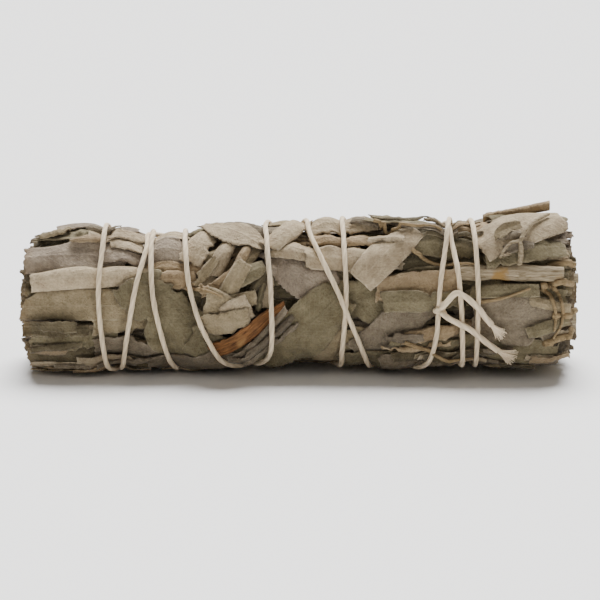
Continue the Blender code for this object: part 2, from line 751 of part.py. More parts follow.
def add_floor_blades(group, pile, rng):
    """Blades between the turns of string that reach the surface on which the bunch lies."""
    for k, (x, length) in enumerate(FEET):
        blade = Blade(x, math.radians(-90), length, FLAT_BLADE_WIDTH, 1, 0.0, 0.0, 0.04)
        bed_blade(f"foot_{k}", blade, pile, rng, group)


def bore_for(number, radius, start, end, sides):
    """Cylinder along the place of one woody stem."""
    ring = 0.0 if number == 6 else WOODY_RING
    angle = math.radians(-90 + 60 * number)
    first, last = station(start, angle, ring), station(end, angle, ring)
    return add_cylinder(f"bore_{number}", first, last, radius, sides, bpy.context.scene.collection)


def trim_floor(obj):
    """Cut off what would reach below the surface on which the bunch lies."""
    bm = bmesh.new()
    bmesh.ops.create_cube(bm, size=1.0)
    bmesh.ops.scale(bm, vec=FLOOR_BLOCK, verts=bm.verts)
    bmesh.ops.translate(bm, vec=(0, 0, -FLOOR_BLOCK[2] / 2), verts=bm.verts)
    mesh = bpy.data.meshes.new("floor")
    bm.to_mesh(mesh)
    bm.free()
    block = bpy.data.objects.new("floor", mesh)
    bpy.context.scene.collection.objects.link(block)
    cut(obj, block)
    keep_largest(obj)


def laid_radii(pile, x, angle, radius, gap, lift=0.1):
    """Radius of a round piece's middle line as it lies on the pile, tight over the high places."""
    touch = np.array([pile.highest(px, pa, radius + 0.4, (radius + 0.4) / RADIUS_MIDDLE)
                      for px, pa in zip(x, angle)])
    held = np.array([touch[max(k - 1, 0):k + 2].max() for k in range(len(touch))])
    smooth = np.convolve(np.pad(held, 1, mode="edge"), [0.25, 0.5, 0.25], mode="valid")
    room = floor_limit(x, angle) - radius - FLOOR_CLEAR
    return np.minimum(np.maximum(smooth, touch) + radius + gap + lift, room)


def cotton_string(pile, route, collection):
    """The winding, its knot and its two tails, fused as the one string that they are."""
    x, angle = route
    radii = np.empty(len(x))
    head = 10
    for k in range(len(x)):
        lo, hi = max(k - 2, 0), min(k + 3, len(x))
        radii[k] = laid_radii(pile, x[lo:hi], angle[lo:hi], STRING_RADIUS, GAP)[k - lo]
        if k >= head:
            lay_string(pile, x, angle, radii, k - head)
    for k in range(len(x) - head, len(x)):
        lay_string(pile, x, angle, radii, k)
    obj = add_tube("cotton_string", station(x, angle, radii), np.full(len(x), STRING_RADIUS), collection)
    group = new_group("knot and tails")
    knot_radius = float(radii[-1]) + KNOT_RISE
    for k, path in enumerate((UPPER_TAIL, LOWER_TAIL)):
        tail(f"tail_{k}", path, pile, knot_radius, FRAY[k], group)
    knot(knot_radius, group)
    unite(obj, group)
    keep_largest(obj)
    paint(obj, COTTON)
    return obj


def lay_string(pile, x, angle, radii, k):
    """Raise the pile along the step of string that ends at point k."""
    if k == 0:
        return
    steps = np.linspace(0, 1, 9)
    px, pa, pr = (values[k - 1] + (values[k] - values[k - 1]) * steps for values in (x, angle, radii))
    pile.lift(px, pa, pr + STRING_RADIUS + 0.1 - GAP, STRING_RADIUS + 0.15)


def tail(name, path, pile, knot_radius, fray, group):
    """A tail of the string from the knot, spread at its frayed end."""
    knots = np.array(path)
    fine = spline(knots, np.linspace(0, len(knots) - 1.001, 3 * len(knots)))
    x = fine[:, 0]
    angle = np.radians(fine[:, 1])
    radii = laid_radii(pile, x, angle, TAIL_RADIUS, GAP)
    blend = np.clip(np.arange(len(x)) / 5, 0, 1)
    radii = knot_radius * (1 - blend) + radii * blend
    thick = np.full(len(x), TAIL_RADIUS)
    thick[-3:] = np.linspace(TAIL_RADIUS, fray, 4)[1:]
    radii += thick - TAIL_RADIUS
    add_tube(name, station(x, angle, radii), thick, group)


def knot(radius, group):
    """The knot: a lump that takes in both ends of the winding and the roots of the tails."""
    bm = bmesh.new()
    bmesh.ops.create_icosphere(bm, subdivisions=2, radius=MM)
    bmesh.ops.scale(bm, vec=KNOT_SIZE, verts=bm.verts)
    middle = station(KNOT_X, 0.0, radius)
    bmesh.ops.translate(bm, vec=tuple(middle), verts=bm.verts)
    mesh = bpy.data.meshes.new("knot")
    bm.to_mesh(mesh)
    bm.free()
    group.objects.link(bpy.data.objects.new("knot", mesh))


def path_points(path, count):
    """x and angle in radians at even steps along a short hand-set path."""
    fine = spline(np.array(path), np.linspace(0, len(path) - 1.001, count))
    return fine[:, 0], np.radians(fine[:, 1])


def outer_stem_body(pile, collection):
    """The thick stem on the outside: straight, in the groove that it pressed."""
    x, angle = path_points(OUTER_STEM, 6)
    touch = max(pile.highest(px, pa, 3.0, 0.12) for px, pa in zip(x, angle))
    radii = np.full(len(x), touch + OUTER_STEM_RADIUS + GAP)
    thick = OUTER_STEM_RADIUS * np.linspace(0.94, 1.0, len(x))
    obj = add_tube("outer_stem", station(x, angle, radii), thick, collection, 2)
    along = np.linspace(x[0], x[-1], 90)
    pile.lift(along, np.interp(along, x, angle), radii[0] + OUTER_STEM_RADIUS, OUTER_STEM_RADIUS + 0.2)
    return obj, float(radii[0])


def add_twig(stem, stem_radius, pile):
    """The forked twig that grew from the thick stem, fused to it."""
    group = new_group("twig")
    fork = None
    for k, path in enumerate((TWIG_TRUNK, TWIG_LONG, TWIG_SHORT)):
        x, angle = path_points(path, 6)
        radii = laid_radii(pile, x, angle, TWIG_RADIUS, GAP)
        if k == 0:
            radii[0] = stem_radius + 1.0
            fork = radii[-1]
        else:
            radii[0] = fork
        thick = TWIG_RADIUS * np.linspace(1.1, 0.9, len(x))
        add_tube(f"twig_{k}", station(x, angle, radii), thick, group)
    unite(stem, group)
    keep_largest(stem)
    paint(stem, WOOD)


def leaf_roll(pile, collection):
    """Leaf rolled to a thin tube along the top, rising clear at the stem end."""
    x, angle = path_points(ROLL_PATH, 8)
    rise = np.interp(np.linspace(0, 3, len(x)), range(4), ROLL_RISE)
    radii = laid_radii(pile, x, angle, ROLL_RADIUS, GAP) + rise
    thick = ROLL_RADIUS * np.linspace(0.8, 1.05, len(x))
    obj = add_tube("leaf_roll", station(x, angle, radii), thick, collection)
    paint(obj, GREY)


def woody_stem(number, collection):
    """Woody stem in its bore, with its cut end standing out at the stem end."""
    size, end = WOODY_SIZES[number]
    stem = bore_for(number, size / 2, WOODY_START, end, 12)
    stem.name = f"woody_stem_{number + 1}"
    bpy.context.scene.collection.objects.unlink(stem)
    collection.objects.link(stem)
    paint(stem, WOOD)


def back_leaves(rng):
    """Outer leaves round the top back, back and lower back, in staggered rows."""
    leaves = []
    finishes = (GREY, PALE, OLIVE)
    for row, (angle, count) in enumerate(BACK_ROWS):
        for k, x in enumerate(spread(rng, count, -70.0, 70.0)):
            length = rng.uniform(*BACK_LENGTH)
            x = min(max(x, length / 2 - 71.0), 71.0 - length / 2)
            leaves.append(Leaf(x, angle + rng.uniform(-5, 5), length, rng.uniform(*BACK_WIDTH),
                               rng.uniform(-16, 16), 0.4, 0.4, 0.7, finishes[(k + row) % 3]))
    return leaves


def centre_over_origin(objects):
    """Move everything in X and Y until the middle of the whole bunch is over the origin."""
    bpy.context.view_layer.update()
    graph = bpy.context.evaluated_depsgraph_get()
    corners = []
    for obj in objects:
        corners += [tuple(corner) for corner in obj.evaluated_get(graph).bound_box]
    corners = np.array(corners)
    middle = (corners.min(axis=0) + corners.max(axis=0)) / 2
    for obj in objects:
        obj.location = (-middle[0], -middle[1], 0)


def main():
    """Build the bunch from the inside out."""
    for obj in list(bpy.data.objects):
        bpy.data.objects.remove(obj)
    bunch = bpy.data.collections.new("sage_bunch")
    bpy.context.scene.collection.children.link(bunch)
    rng = np.random.default_rng(SEED)
    route = string_route()
    pile = Pile(route)
    for number in range(7):
        leafy_stem(number, pile, rng, bunch)
        woody_stem(number, bunch)
    trim_floor(bunch.objects["leafy_stem_1"])
    stem, stem_radius = outer_stem_body(pile, bunch)
    paint(stem, WOOD)
    leaf_sheet("bark_strip", BARK_STRIP, pile, rng, bunch)
    loose = back_leaves(rng) + list(FRONT_LEAVES)
    for number, leaf in enumerate(loose):
        leaf_sheet(f"outer_leaf_{number + 1:02d}", leaf, pile, rng, bunch)
    add_twig(stem, stem_radius, pile)
    leaf_roll(pile, bunch)
    cotton_string(pile, route, bunch)
    centre_over_origin(list(bunch.objects))


main()
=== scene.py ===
import logging
import math
from dataclasses import dataclass, field, replace
from enum import Enum

import bpy
import numpy as np
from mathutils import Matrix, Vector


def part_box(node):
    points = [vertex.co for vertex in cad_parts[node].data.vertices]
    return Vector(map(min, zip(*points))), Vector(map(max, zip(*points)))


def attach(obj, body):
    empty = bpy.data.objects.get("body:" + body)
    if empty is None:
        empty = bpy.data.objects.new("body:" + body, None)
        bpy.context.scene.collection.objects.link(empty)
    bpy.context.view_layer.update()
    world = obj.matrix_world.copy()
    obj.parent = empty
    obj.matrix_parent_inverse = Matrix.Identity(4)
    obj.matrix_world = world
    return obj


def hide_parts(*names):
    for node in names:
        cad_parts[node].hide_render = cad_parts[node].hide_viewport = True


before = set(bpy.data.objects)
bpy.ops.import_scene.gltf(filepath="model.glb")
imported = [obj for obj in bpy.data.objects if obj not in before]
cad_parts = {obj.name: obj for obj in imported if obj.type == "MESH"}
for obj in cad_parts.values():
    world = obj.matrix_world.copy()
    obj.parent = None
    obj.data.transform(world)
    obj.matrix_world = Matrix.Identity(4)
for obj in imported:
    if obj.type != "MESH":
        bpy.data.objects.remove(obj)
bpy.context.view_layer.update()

LOG = logging.getLogger("sage_bunch")
MM = 0.001
ROOT = "root"
# Radius in mm that turns an angle round the bunch into a length over its surface.
ROUND = 19.9


def rgba(code: str) -> tuple[float, float, float, float]:
    """Turn an sRGB hex colour to linear light.

    Args:
        code: the colour as "#RRGGBB".

    Returns:
        Linear red, green and blue, and an alpha of 1.
    """
    parts = [int(code[k:k + 2], 16) / 255 for k in (1, 3, 5)]
    linear = [c / 12.92 if c <= 0.04045 else ((c + 0.055) / 1.055) ** 2.4 for c in parts]
    return (*linear, 1.0)


def wrap(angle: np.ndarray) -> np.ndarray:
    """Bring angles between -pi and pi."""
    return (angle + math.pi) % (2 * math.pi) - math.pi


def smooth_step(value: np.ndarray, low: float, high: float) -> np.ndarray:
    """Rise smoothly from 0 at low to 1 at high: 3t^2 - 2t^3."""
    t = np.clip((value - low) / (high - low), 0, 1)
    return t * t * (3 - 2 * t)


class Noise:
    """Smooth random relief: random values on a square lattice, blended with smooth steps."""

    SIZE = 64

    def __init__(self, seed: int) -> None:
        """Draw the lattice's values.

        Args:
            seed: number that fixes the draw.
        """
        self.table = np.random.default_rng(seed).uniform(-1, 1, (self.SIZE, self.SIZE))

    def at(self, x: np.ndarray, y: np.ndarray, scale: float) -> np.ndarray:
        """Read the relief.

        Args:
            x: first coordinates.
            y: second coordinates.
            scale: size of one lattice cell, in the coordinates' unit.

        Returns:
            Values from -1 to 1.
        """
        x, y = np.broadcast_arrays(x / scale, y / scale)
        i, j = np.floor(x).astype(int), np.floor(y).astype(int)
        tx, ty = smooth_step(x - i, 0, 1), smooth_step(y - j, 0, 1)
        corner = [self.table[(i + di) % self.SIZE, (j + dj) % self.SIZE] for di in (0, 1) for dj in (0, 1)]
        return (corner[0] * (1 - tx) * (1 - ty) + corner[1] * (1 - tx) * ty
                + corner[2] * tx * (1 - ty) + corner[3] * tx * ty)

    def rough(self, x: np.ndarray, y: np.ndarray, scale: float) -> np.ndarray:
        """Relief with three finer layers, each half as high as the last."""
        return (self.at(x, y, scale) + 0.5 * self.at(x + 7, y + 3, scale / 2)
                + 0.25 * self.at(x + 1, y + 9, scale / 4)) / 1.75


def spline(knots: np.ndarray, positions: np.ndarray) -> np.ndarray:
    """Smooth curve through knots.

    Catmull-Rom: each stretch is the cubic through its two knots whose slopes
    are half the step between the knots on either side.

    Args:
        knots: one row for each knot.
        positions: places along the curve, in knots.

    Returns:
        One row for each position.
    """
    points = np.vstack([2 * knots[0] - knots[1], knots, 2 * knots[-1] - knots[-2]])
    index = np.clip(positions.astype(int), 0, len(knots) - 2)
    t = (positions - index)[:, None]
    p0, p1, p2, p3 = (points[index + k] for k in range(4))
    return 0.5 * (2 * p1 + (p2 - p0) * t + (2 * p0 - 5 * p1 + 4 * p2 - p3) * t ** 2
                  + (3 * p1 - p0 - 3 * p2 + p3) * t ** 3)


def even_out(values: np.ndarray, reach: int) -> np.ndarray:
    """Moving average over reach places either way, the ends carried on outwards."""
    span = 2 * reach + 1
    return np.convolve(np.pad(values, reach, mode="edge"), np.ones(span) / span, mode="valid")


def even_path(knots: list | tuple, step: float) -> tuple[np.ndarray, np.ndarray]:
    """Even steps along a given route over the bunch.

    Args:
        knots: x in mm and angle in degrees of each knot.
        step: length of one step, in mm.

    Returns:
        x in mm and angle in radians at each step.
    """
    fine = spline(np.array(knots, dtype=float), np.linspace(0, len(knots) - 1.0001, 60 * len(knots)))
    x, angle = fine[:, 0], np.radians(fine[:, 1])
    length = np.concatenate([[0], np.cumsum(np.hypot(np.diff(x), np.diff(angle) * ROUND))])
    even = np.linspace(0, length[-1], max(int(length[-1] / step), 2) + 1)
    return np.interp(even, length, x), np.interp(even, length, angle)


@dataclass
class StringRoute:
    """Where the string runs.

    Each pass down the front is x in mm at five angles in degrees. The first
    pass starts at the knot and the last one ends there. The tails and the knot
    are pairs of x and angle.
    """

    front_angles: tuple = (102.0, 57.0, 12.0, -33.0, -72.0)
    down_angles: tuple = (-2.0, -26.0, -78.0)
    up_angles: tuple = (102.0, 57.0, 22.0, 2.0)
    back_angle: float = -168.0
    passes: tuple = (
        (37.0, 35.6, 28.5),
        (12.4, 12.0, 12.6, 11.6, 10.4),
        (-8.0, -8.4, -7.3, -7.6, -13.4),
        (-39.3, -40.5, -43.6, -46.2, -48.0),
        (-51.1, -52.0, -52.9, -51.4, -48.0),
        (-39.2, -39.2, -38.4, -34.8, -31.8),
        (-30.4, -30.1, -28.2, -21.7, -13.4),
        (1.2, 3.7, 10.7, 16.9, 20.1),
        (38.2, 40.4, 42.7, 43.4, 43.0),
        (45.3, 46.5, 47.4, 47.1, 46.9),
        (41.2, 39.4, 37.6, 37.0),
    )
    upper_tail: tuple = ((37.6, 1.0), (39.8, 8.0), (41.6, 11.8), (43.2, 10.4),
                         (45.6, 5.6), (47.7, 0.2), (49.3, -5.4), (51.0, -10.2))
    lower_tail: tuple = ((37.6, -2.0), (40.1, -5.8), (42.8, -9.8), (45.3, -13.0),
                         (47.7, -17.2), (50.4, -21.2), (52.6, -24.6))
    knot: tuple = (37.2, 0.0)

    def knots(self) -> list[tuple[float, float]]:
        """Join the passes to one winding, each down the front and on up the back.

        Returns:
            x in mm and angle in degrees of each knot, the angle a turn less after each pass.
        """
        route: list[tuple[float, float]] = []
        turn = 0.0
        for number, places in enumerate(self.passes):
            angles = self.front_angles
            if number == 0:
                angles = self.down_angles
            if number == len(self.passes) - 1:
                angles = self.up_angles
            if route:
                route.append((0.5 * (route[-1][0] + places[0]), self.back_angle + turn))
                turn -= 360.0
            route += [(x, angle + turn) for x, angle in zip(places, angles)]
        return route


@dataclass
class BunchSpace:
    """The space round the bunch: x along it, an angle round it, and a radius, in mm.

    The angle is 0 at the front and 90 degrees at the top. The bunch is a slim
    cone, pinched in along the string and pressed flat where it lies. The shift
    from here to the frame comes from woody_stem_7, whose middle is at stem_middle.
    """

    route: StringRoute
    radius_middle: float = ROUND
    taper: float = 1.3
    half_length: float = 75.0
    flat_depth: float = 0.9
    pinch_deep: float = 1.05
    pinch_width: float = 2.6
    pinch_most: float = 1.8
    press_from: float = 0.55
    press_sharp: float = 8.0
    stem_middle: float = 18.0
    grid_x: np.ndarray = field(init=False)
    grid_a: np.ndarray = field(init=False)
    pinch: np.ndarray = field(init=False)
    shift: tuple = field(init=False)

    STEP_X = 0.5
    COLUMNS = 240
    STEP_A = math.radians(1.5)
    REACH = 80.0

    def __post_init__(self) -> None:
        """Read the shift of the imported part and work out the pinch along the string."""
        low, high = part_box("woody_stem_7")
        middle_x = 0.5 * (low[0] + high[0]) / MM
        self.shift = (middle_x - self.stem_middle, 0.5 * (low[1] + high[1]) / MM)
        x = np.arange(-self.REACH, self.REACH + self.STEP_X, self.STEP_X)
        angle = np.arange(self.COLUMNS) * self.STEP_A
        self.grid_x, self.grid_a = np.meshgrid(x, angle, indexing="ij")
        self.pinch = np.minimum(self.pinch_field(), self.pinch_most)

    def pinch_field(self) -> np.ndarray:
        """Depth of the dent along the string.

        Each turn of the string adds a bell curve of the distance to it.

        Returns:
            The depth in mm on the grid of x and angle.
        """
        path_x, path_a = even_path(self.route.knots(), 1.0)
        turn = np.floor((path_a - math.radians(self.route.back_angle)) / (2 * math.pi)).astype(int)
        total = np.zeros_like(self.grid_x)
        for number in np.unique(turn):
            away = np.full_like(self.grid_x, np.inf)
            for x, angle in zip(path_x[turn == number], path_a[turn == number]):
                near = np.hypot(self.grid_x - x, wrap(self.grid_a - angle) * self.radius_middle)
                away = np.minimum(away, near)
            total += self.pinch_deep * np.exp(-(away / self.pinch_width) ** 2)
        return total

    def outward(self, angle: np.ndarray) -> np.ndarray:
        """Direction away from the middle line at an angle."""
        return np.stack([0 * angle, -np.cos(angle), np.sin(angle)], -1)

    def envelope(self, x: np.ndarray) -> np.ndarray:
        """Radius of the plain cone at x."""
        return self.radius_middle + self.taper * x / self.half_length

    def axis_height(self, x: np.ndarray) -> np.ndarray:
        """Height of the middle line at x."""
        return self.envelope(x) - self.flat_depth

    def pinch_at(self, x: np.ndarray, angle: np.ndarray) -> np.ndarray:
        """Read the pinch between the grid's points, straight along both ways.

        Args:
            x: places along the bunch, mm.
            angle: angles round it, radians.

        Returns:
            The pinch at each place, mm.
        """
        i = np.clip((x + self.REACH) / self.STEP_X, 0, self.pinch.shape[0] - 1.001)
        j = angle / self.STEP_A
        i0, j0 = np.floor(i).astype(int), np.floor(j).astype(int)
        ti, tj = i - i0, j - j0
        count = self.pinch.shape[1]
        near = self.pinch[i0, j0 % count] * (1 - tj) + self.pinch[i0, (j0 + 1) % count] * tj
        far = self.pinch[i0 + 1, j0 % count] * (1 - tj) + self.pinch[i0 + 1, (j0 + 1) % count] * tj
        return near * (1 - ti) + far * ti

    def place(self, x: np.ndarray, angle: np.ndarray, radius: np.ndarray, clear: float = 0.2) -> np.ndarray:
        """Points in metres for places of the bunch.

        The radius is first lowered by the pinch, the more the further out it is.
        Past press_from it is then bent back by t / (1 + t^p)^(1/p), with t its
        share of the way to the surface the bunch lies on, which it never passes.

        Args:
            x: places along the bunch, mm.
            angle: angles round it, radians.
            radius: radii, mm.
            clear: least height of a point over the surface, mm.

        Returns:
            An array with one more axis, of the three coordinates.
        """
        x, angle, radius = np.broadcast_arrays(np.asarray(x, float), angle, radius)
        cone = self.envelope(x)
        inner = self.press_from * cone
        share = np.clip((radius - inner) / (cone - inner), 0, 1.3)
        radius = radius - share * self.pinch_at(x, angle)
        down = np.clip(-np.sin(angle), 0.3, 1.0)
        room = (self.axis_height(x) - clear) / down - inner
        t = np.maximum(radius - inner, 0) / room
        bent = t / (1 + t ** self.press_sharp) ** (1 / self.press_sharp)
        radius = np.where(radius > inner, inner + bent * room, radius)
        y = -radius * np.cos(angle) + self.shift[1]
        z = self.axis_height(x) + radius * np.sin(angle)
        return np.stack([x + self.shift[0], y, z], axis=-1) * MM


class Pile:
    """Height of all that is laid so far, as a radius in mm over x and the angle."""

    STEP_X = 0.25
    COLUMNS = 480
    STEP_A = math.radians(0.75)
    REACH = 80.0

    def __init__(self, space: BunchSpace, start: float) -> None:
        """Start from a bare cone.

        Args:
            space: the bunch's space.
            start: how far below the cone the bare core lies, mm.
        """
        x = np.arange(-self.REACH, self.REACH + self.STEP_X, self.STEP_X)
        self.height = np.repeat(space.envelope(x)[:, None] - start, self.COLUMNS, axis=1)

    def at(self, x: np.ndarray, angle: np.ndarray) -> np.ndarray:
        """Read the highest of the four grid points round each place.

        Args:
            x: places along the bunch, mm.
            angle: angles round it, radians.

        Returns:
            The pile's radius at each place, mm.
        """
        i = np.clip((x + self.REACH) / self.STEP_X, 0, self.height.shape[0] - 2)
        i0, j0 = np.floor(i).astype(int), np.floor(angle / self.STEP_A).astype(int)
        count = self.height.shape[1]
        return np.max([self.height[i0 + di, (j0 + dj) % count] for di in (0, 1) for dj in (0, 1)], axis=0)

    def lift(self, x: np.ndarray, angle: np.ndarray, top: np.ndarray) -> None:
        """Raise the pile to the top of a sheet.

        Args:
            x: the sheet's grid of places along the bunch, mm.
            angle: its grid of angles, radians.
            top: its grid of radii of the upper face, mm.
        """
        fine = [refine(values, 3) for values in (x, angle, top)]
        i = np.clip(np.round((fine[0] + self.REACH) / self.STEP_X).astype(int), 0, self.height.shape[0] - 1)
        j = np.round(fine[1] / self.STEP_A).astype(int) % self.height.shape[1]
        np.maximum.at(self.height, (i, j), fine[2])


def refine(values: np.ndarray, times: int) -> np.ndarray:
    """Read a grid straight between its lines.

    Args:
        values: the grid.
        times: how much finer the new grid is, both ways.

    Returns:
        The finer grid.
    """
    for axis, count in enumerate(values.shape):
        places = np.linspace(0, count - 1, (count - 1) * times + 1)
        shares = np.clip(1 - np.abs(places[:, None] - np.arange(count)[None, :]), 0, 1)
        values = shares @ values if axis == 0 else values @ shares.T
    return values


def blur(values: np.ndarray, reach: int) -> np.ndarray:
    """Average a grid over a square window, its edges carried on outwards.

    Args:
        values: the grid.
        reach: how many places the window reaches each way.

    Returns:
        The averaged grid.
    """
    for axis in (0, 1):
        span = min(reach, values.shape[axis] - 1)
        padded = np.concatenate([np.repeat(values.take([0], axis), span, axis), values,
                                 np.repeat(values.take([-1], axis), span, axis)], axis)
        total = np.cumsum(padded, axis)
        zero = np.zeros_like(total.take([0], axis))
        total = np.concatenate([zero, total], axis)
        size = values.shape[axis]
        high = total.take(range(2 * span + 1, 2 * span + 1 + size), axis)
        values = (high - total.take(range(size), axis)) / (2 * span + 1)
    return values


class MeshPile:
    """Collects closed shells and makes them one mesh object."""

    # rim: on a leaf the distance to its margin, where a highlight and browning are painted; on a stick its
    # pith; on the string 1 in the grooves between plies, where shade is painted.
    FLOATS = ("along", "across", "rim", "tint")

    def __init__(self) -> None:
        """Start with nothing in the mesh."""
        self.points: list[np.ndarray] = []
        self.quads: list[np.ndarray] = []
        self.triangles: list[np.ndarray] = []
        self.caps: list[list[int]] = []
        self.values: dict[str, list[np.ndarray]] = {name: [] for name in self.FLOATS}
        self.count = 0

    def add(self, points: np.ndarray, quads: np.ndarray, caps: list[list[int]], **values: np.ndarray) -> None:
        """Add one shell.

        Args:
            points: its points, in metres.
            quads: its four-sided faces.
            caps: its faces with more sides.
            values: an array for any of FLOATS, one number a point.
        """
        self.points.append(points)
        self.quads.append(quads + self.count)
        self.caps += [[index + self.count for index in cap] for cap in caps]
        for name in self.FLOATS:
            given = values.get(name, 0.0)
            self.values[name].append(np.broadcast_to(np.asarray(given, float), (len(points),)))
        self.count += len(points)

    def spikes(self, roots: np.ndarray, reach: np.ndarray, thick: float, **values: np.ndarray) -> None:
        """Add hairs, each a thin three-sided spike.

        Args:
            roots: one root for each hair, metres.
            reach: from the root to the tip, metres.
            thick: width at the root, mm.
            values: a number for any of FLOATS.
        """
        along = reach / np.linalg.norm(reach, axis=1, keepdims=True)
        first = np.cross(along, np.array([0.31, 0.83, 0.46]))
        first /= np.linalg.norm(first, axis=1, keepdims=True)
        second = np.cross(along, first)
        turn = np.arange(3) * 2 * math.pi / 3
        ring = roots[:, None, :] + 0.58 * thick * MM * (np.cos(turn)[None, :, None] * first[:, None, :]
                                                       + np.sin(turn)[None, :, None] * second[:, None, :])
        points = np.concatenate([ring, (roots + reach)[:, None, :]], axis=1)
        faces = np.array([[0, 2, 1], [0, 1, 3], [1, 2, 3], [2, 0, 3]])
        index = 4 * np.arange(len(roots))[:, None, None] + faces[None, :, :]
        self.triangles.append(index.reshape(-1, 3) + self.count)
        self.add(points.reshape(-1, 3), np.empty((0, 4), int), [], **values)

    def sheet(self, middle: np.ndarray, thickness: np.ndarray, **values: np.ndarray) -> None:
        """Add a thin sheet as a closed shell.

        Both faces lie half the thickness from the middle surface, along its
        normal, which is the cross product of its two grid directions.

        Args:
            middle: grid of points in metres, whose first axis crossed with its second points outwards.
            thickness: thickness in mm at each point.
            values: a grid for any of FLOATS.
        """
        rows, columns = middle.shape[:2]
        normal = np.cross(np.gradient(middle, axis=0), np.gradient(middle, axis=1))
        length = np.linalg.norm(normal, axis=2, keepdims=True)
        normal = normal / np.maximum(length, 1e-15)
        half = 0.5 * thickness[:, :, None] * MM
        points = np.stack([middle + normal * half, middle - normal * half]).reshape(-1, 3)
        index = np.arange(rows * columns).reshape(rows, columns)
        top = np.stack([index[:-1, :-1], index[1:, :-1], index[1:, 1:], index[:-1, 1:]], -1).reshape(-1, 4)
        under = top[:, ::-1] + rows * columns
        ring = np.concatenate([index[:-1, 0], index[-1, :-1], index[:0:-1, -1], index[0, :0:-1]])
        after = np.roll(ring, -1)
        low = rows * columns
        side = np.stack([after, ring, ring + low, after + low], -1)
        doubled = {name: np.tile(grid.ravel(), 2) for name, grid in values.items()}
        self.add(points, np.concatenate([top, under, side]), [], **doubled)

    def tube(self, centres: np.ndarray, outward: np.ndarray, radii: np.ndarray, sides: int,
             relief: np.ndarray | float = 1.0, tangent: np.ndarray | None = None,
             **values: np.ndarray | float) -> None:
        """Add a closed tube along a path.

        Each section is a circle square to the path. Its radius is multiplied by
        the relief, which gives the plies of a string or the ribs of a stem.

        Args:
            centres: points of the path, metres.
            outward: a direction at each point that the section's first corner faces.
            radii: radius at each point, mm.
            sides: corners of a section.
            relief: share of the radius at each corner of each section.
            tangent: direction of the path at each point, where it turns back on itself.
            values: numbers for any of FLOATS, for each point of the path or each corner.
        """
        shape = (len(centres), sides)
        tangent = np.gradient(centres, axis=0) if tangent is None else tangent
        tangent = tangent / np.linalg.norm(tangent, axis=1, keepdims=True)
        first = outward - (outward * tangent).sum(1, keepdims=True) * tangent
        first /= np.linalg.norm(first, axis=1, keepdims=True)
        second = np.cross(tangent, first)
        turn = self.corners(sides)
        swell = np.broadcast_to(np.reshape(radii, (-1, 1)) * MM * relief, shape)[:, :, None]
        points = centres[:, None, :] + swell * (np.cos(turn)[:, :, None] * first[:, None, :]
                                                + np.sin(turn)[:, :, None] * second[:, None, :])
        index = np.arange(shape[0] * sides).reshape(shape)
        around = np.roll(index, -1, axis=1)
        quads = np.stack([index[:-1], around[:-1], around[1:], index[1:]], -1).reshape(-1, 4)
        caps = [index[0, ::-1].tolist(), index[-1].tolist()]
        spread = {"across": np.arange(sides)[None, :] / sides, **values}
        for name, row in spread.items():
            grid = row if np.ndim(row) == 2 else np.reshape(row, (-1, 1))
            spread[name] = np.broadcast_to(grid, shape).ravel()
        self.add(points.reshape(-1, 3), quads, caps, **spread)

    @staticmethod
    def corners(sides: int) -> np.ndarray:
        """Angles of the corners of a tube's section, as a row."""
        return np.linspace(0, 2 * math.pi, sides, endpoint=False)[None, :]

    def build(self, name: str) -> bpy.types.Object:
        """Make the mesh object, with smooth faces and its float attributes.

        Args:
            name: the object's name.

        Returns:
            The object, linked to the scene.
        """
        mesh = bpy.data.meshes.new(name)
        points = np.concatenate(self.points)
        faces = np.concatenate(self.quads).tolist() + self.caps
        faces += [row for rows in self.triangles for row in rows.tolist()]
        mesh.from_pydata(points.tolist(), [], faces)
        mesh.update()
        mesh.shade_smooth()
        for key, rows in self.values.items():
            layer = mesh.attributes.new(key, "FLOAT", "POINT")
            layer.data.foreach_set("value", np.concatenate(rows).astype(np.float32))
        obj = bpy.data.objects.new(name, mesh)
        bpy.context.scene.collection.objects.link(obj)
        return obj


def add_node(tree: bpy.types.NodeTree, kind: str, settings: dict | None = None,
             links: dict | None = None, out: int | str = 0) -> bpy.types.NodeSocket:
    """Add a shader node with its settings and links.

    Args:
        tree: the material's node tree.
        kind: the node's type, without the ShaderNode in front.
        settings: values by property name, or by input name or number.
        links: the output that feeds each input, by input name or number.
        out: name or number of the output that is wanted.

    Returns:
        That output of the new node.
    """
    node = tree.nodes.new("ShaderNode" + kind)
    for key, value in (settings or {}).items():
        if isinstance(key, str) and hasattr(node, key):
            setattr(node, key, value)
        else:
            node.inputs[key].default_value = value
    for key, source in (links or {}).items():
        tree.links.new(source, node.inputs[key])
    return node.outputs[out]


